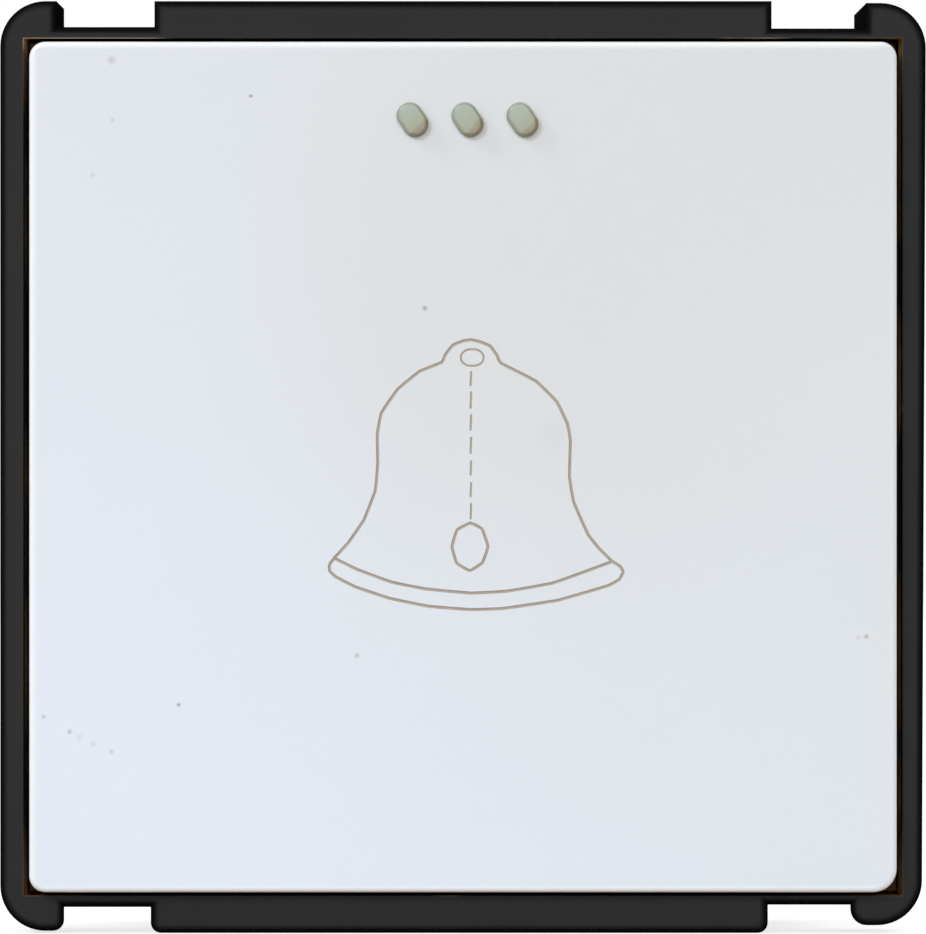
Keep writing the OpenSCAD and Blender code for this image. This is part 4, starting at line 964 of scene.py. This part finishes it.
# Painted highlight: a bright band along the plate's edges, weaker at the right edge.
border_highlight = add_node(white, "MapRange", {
    "Value": outer, "From Min": 1 - 2 * HIGHLIGHT_BAND / PLATE_W,
    "From Max": 1 - 0.5 * HIGHLIGHT_BAND / PLATE_W}, "Result")
right = add_node(white, "SeparateXYZ", {"Vector": place}, "X")
shine = add_node(white, "MapRange", {
    "Value": right, "From Min": SHINE_X[0] * MM, "From Max": SHINE_X[1] * MM,
    "To Min": 0.9, "To Max": 0.3}, "Result")
border_highlight = add_node(white, "Math", {0: border_highlight, 1: shine}, "Value", operation="MULTIPLY")
for amount, code in ((fingers, "#d7d7d6"), (shadow_tint_and_soil, "#cabb98"), (marks, "#6f665c"),
                     (border_highlight, "#f6f8fa"), (edge_highlight, "#f8f9fa"), (underside_bounce_light, "#efe4d2")):
    colour = add_node(white, "Mix", {
        "Factor": amount, "A": colour, "B": linear(code)}, "Result", data_type="RGBA")
rough = add_node(white, "MapRange", {"Value": satin, "To Min": 0.42, "To Max": 0.56}, "Result")
end_material(white, {
    "Base Color": colour,
    "Roughness": add_node(white, "Mix", {"Factor": edge_highlight, "A": rough, "B": 0.3}, "Result",
                          data_type="FLOAT"),
    "Normal": add_node(white, "Bump", {
        "Height": satin, "Strength": 0.22, "Distance": 0.012 * MM}, "Normal"),
    "IOR": 1.53})

# Engraving paint: tan enamel wiped into the lines, thin and uneven along them.
paint, place = begin_material("tan_engraving_paint")
uneven = add_node(paint, "TexNoise", {
    "Vector": place, "Scale": 1 / (0.5 * MM), "Detail": 3.0}, "Fac")
end_material(paint, {
    "Base Color": add_node(paint, "Mix", {
        "Factor": uneven, "A": linear("#a2968a"), "B": linear("#b9aea0")}, "Result",
        data_type="RGBA"),
    "Roughness": 0.6})
wear(plate, white)
plate.data.materials.append(paint)
pick(plate, "FACE", lambda points: (
    all(abs(p.x) < BELL_REACH_X and abs(p.z) < BELL_REACH_Z and p.y < PLATE_FRONT + 2 * LINE_R
        for p in points)
    and any(p.y > PLATE_FRONT + LINE_EDGE for p in points)))
plate.active_material_index = 1
bpy.ops.object.material_slot_assign()
bpy.ops.object.mode_set(mode="OBJECT")
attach(plate, "key")
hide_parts("push_plate")


# Glow strip: three domed studs on one strip, pressed into the plate from behind and held by two
# headed pegs. It is moulded in milky green glow plastic, so that the button is found in the dark.
STUD_FRONT, STUD_ROOT, STUD_DOME_R = -11.0, -8.25, 0.17
STRIP_W, STRIP_H = 14.0, 3.4
FOOT_FRONT, FOOT_BACK, MILK, STUD_MIDDLE = -10.75, -10.45, 0.45, 0.25
STUD_LIGHT_SLOPE, SHADE = (-0.9, 0.6), (0.48, 0.74)
strip = block("glow_studs", (STUD_X - STRIP_W / 2, PLATE_BACK, STUD_Z - STRIP_H / 2),
              (STUD_X + STRIP_W / 2, STRIP_BACK, STUD_Z + STRIP_H / 2))
for x in stud_places:
    stud = stud_form("stud", 0, STUD_FRONT, STUD_ROOT, x)
    round_edges(stud, STUD_DOME_R, 8, ahead_of(STUD_FRONT))
    combine(strip, stud, "UNION")
for side in (-1, 1):
    combine(strip, disc("peg_hole", PEG_R + PEG_GAP, PLATE_BACK - PAST, STRIP_BACK + PAST,
                        STUD_X + side * PEG_X, STUD_Z, 32), "DIFFERENCE")
break_edges(strip, 0)
glow, place = begin_material("milky_glow_plastic")
at = add_node(glow, "SeparateXYZ", {"Vector": place})
foot = add_node(glow, "MapRange", {
    "Value": at.outputs["Y"], "From Min": FOOT_FRONT * MM, "From Max": FOOT_BACK * MM,
    "To Max": 0.5}, "Result", interpolation_type="SMOOTHSTEP")
moved = add_node(glow, "Math", {
    0: at.outputs["X"], 1: (STUD_X - 1.5 * STUD_PITCH) * MM}, "Value", operation="SUBTRACT")
local = add_node(glow, "Math", {0: moved, 1: STUD_PITCH * MM}, "Value", operation="FLOORED_MODULO")
lower = add_node(glow, "Math", {0: local, 1: at.outputs["Z"]}, "Value", operation="SUBTRACT")
milk = add_node(glow, "TexNoise", {
    "Vector": place, "Scale": 1 / (MILK * MM), "Detail": 4.0, "Roughness": 0.6}, "Fac")
ragged = add_node(glow, "Math", {0: milk, 1: 0.5 * MM, 2: lower}, "Value", operation="MULTIPLY_ADD")
middle = STUD_PITCH / 2 - STUD_Z + STUD_MIDDLE
# Painted light and shade: each stud is painted lighter and cooler at its upper left, towards the
# light, and duller at its lower right.
stud_light_slope = add_node(glow, "MapRange", {
    "Value": ragged, "From Min": (middle + STUD_LIGHT_SLOPE[0]) * MM,
    "From Max": (middle + STUD_LIGHT_SLOPE[1]) * MM}, "Result")
shaded = add_node(glow, "MapRange", {
    "Value": ragged, "From Min": (middle + SHADE[0]) * MM,
    "From Max": (middle + SHADE[1]) * MM, "To Max": 0.8}, "Result")
# Painted shade in brown at the lower right of each stud, with the studs also darker and browner
# towards their foot.
shade_and_foot_darkening = add_node(glow, "Math", {0: foot, 1: shaded}, "Value", operation="MAXIMUM")
green = add_node(glow, "Mix", {
    "Factor": stud_light_slope, "A": linear("#9ba899"), "B": linear("#92977d")}, "Result", data_type="RGBA")
end_material(glow, {
    "Base Color": add_node(glow, "Mix", {
        "Factor": shade_and_foot_darkening, "A": green, "B": linear("#7f7052")}, "Result", data_type="RGBA"),
    "Roughness": 0.24, "IOR": 1.5, "Subsurface Weight": 0.2,
    "Subsurface Radius": (0.3 * MM, 0.35 * MM, 0.22 * MM)})
wear(strip, glow)
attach(strip, "key")
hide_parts("glow_strip")


# The studio: a pale floor under the button, a soft window light from the upper left, a skimming
# light along the plate's edges, a broad fill from the front, a light behind, and a white surround.
FLOOR_Z, FLOOR_SIZE, FLOOR_SEEN, FLOOR_GREY = -FRAME_H / 2 - 0.02, 6.0, 0.78, 0.46
bpy.ops.object.select_all(action="DESELECT")
bpy.ops.mesh.primitive_plane_add(size=FLOOR_SIZE, location=(0, 0, FLOOR_Z * MM))
floor = bpy.context.object
floor.name = "studio_floor"
settle()


def seen_directly(holder):
    """Gives 1 for rays of the camera, of gloss and through glass, and 0 for light on surfaces."""
    rays = add_node(holder, "LightPath")
    both = add_node(holder, "Math", {
        0: rays.outputs["Is Camera Ray"], 1: rays.outputs["Is Glossy Ray"]}, "Value",
        operation="MAXIMUM")
    return add_node(holder, "Math", {
        0: both, 1: rays.outputs["Is Transmission Ray"]}, "Value", operation="MAXIMUM")


paper, place = begin_material("pale_studio_floor")
bright = add_node(paper, "Math", {0: seen_directly(paper), 1: FLOOR_SEEN}, "Value",
                  operation="MULTIPLY")
shine = add_node(paper, "Emission", {"Color": (1, 1, 1, 1), "Strength": bright}, "Emission")
matt = add_node(paper, "BsdfDiffuse", {"Color": (FLOOR_GREY, FLOOR_GREY, FLOOR_GREY, 1)}, "BSDF")
both = add_node(paper, "AddShader", {0: shine, 1: matt}, "Shader")
add_node(paper, "OutputMaterial", {"Surface": both})
wear(floor, paper)
floor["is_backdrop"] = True

world = bpy.data.worlds.new("white_surround")
bpy.context.scene.world = world
world.use_nodes = True
world.node_tree.nodes.clear()
AMBIENT = 0.38
level = add_node(world, "MapRange", {
    "Value": seen_directly(world), "To Min": AMBIENT, "To Max": 1.0}, "Result")
surround = add_node(world, "Background", {
    "Color": (1, 1, 1, 1), "Strength": level}, "Background")
add_node(world, "OutputWorld", {"Surface": surround})

for name, place, size, power in (
        ("window", (-0.95, -2.0, 1.0), 0.7, 17.5),
        ("skim", (-1.8, -0.7, 1.6), 0.6, 13.0),
        ("fill", (0.3, -2.3, 0.45), 0.9, 16.0),
        ("rear", (0.8, 1.6, 1.1), 1.0, 20.0)):
    bpy.ops.object.light_add(type="AREA", location=place)
    lamp = bpy.context.object
    lamp.name = name
    lamp.data.size, lamp.data.energy = size, power
    lamp.rotation_euler = (-Vector(place)).to_track_quat("-Z", "Y").to_euler()
    lamp.visible_camera = False

# The camera looks straight at the plate from 0.9 m, and the frame's 45 mm fill the picture's width.
CAMERA_AWAY, SENSOR, PIXELS_PER_MM, PICTURE_LONG = 900.0, 36.0, 20.578, 934
bpy.ops.object.camera_add(location=(0, (FRAME_FRONT - CAMERA_AWAY) * MM, 0),
                          rotation=(math.pi / 2, 0, 0))
camera = bpy.context.object
camera.data.sensor_width = SENSOR
camera.data.lens = SENSOR * CAMERA_AWAY * PIXELS_PER_MM / PICTURE_LONG
bpy.context.scene.camera = camera
bpy.context.scene.view_settings.view_transform = "Standard"

low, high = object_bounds()
{"cad": [list(cad_low), list(cad_high)], "scene": [list(low), list(high)]}
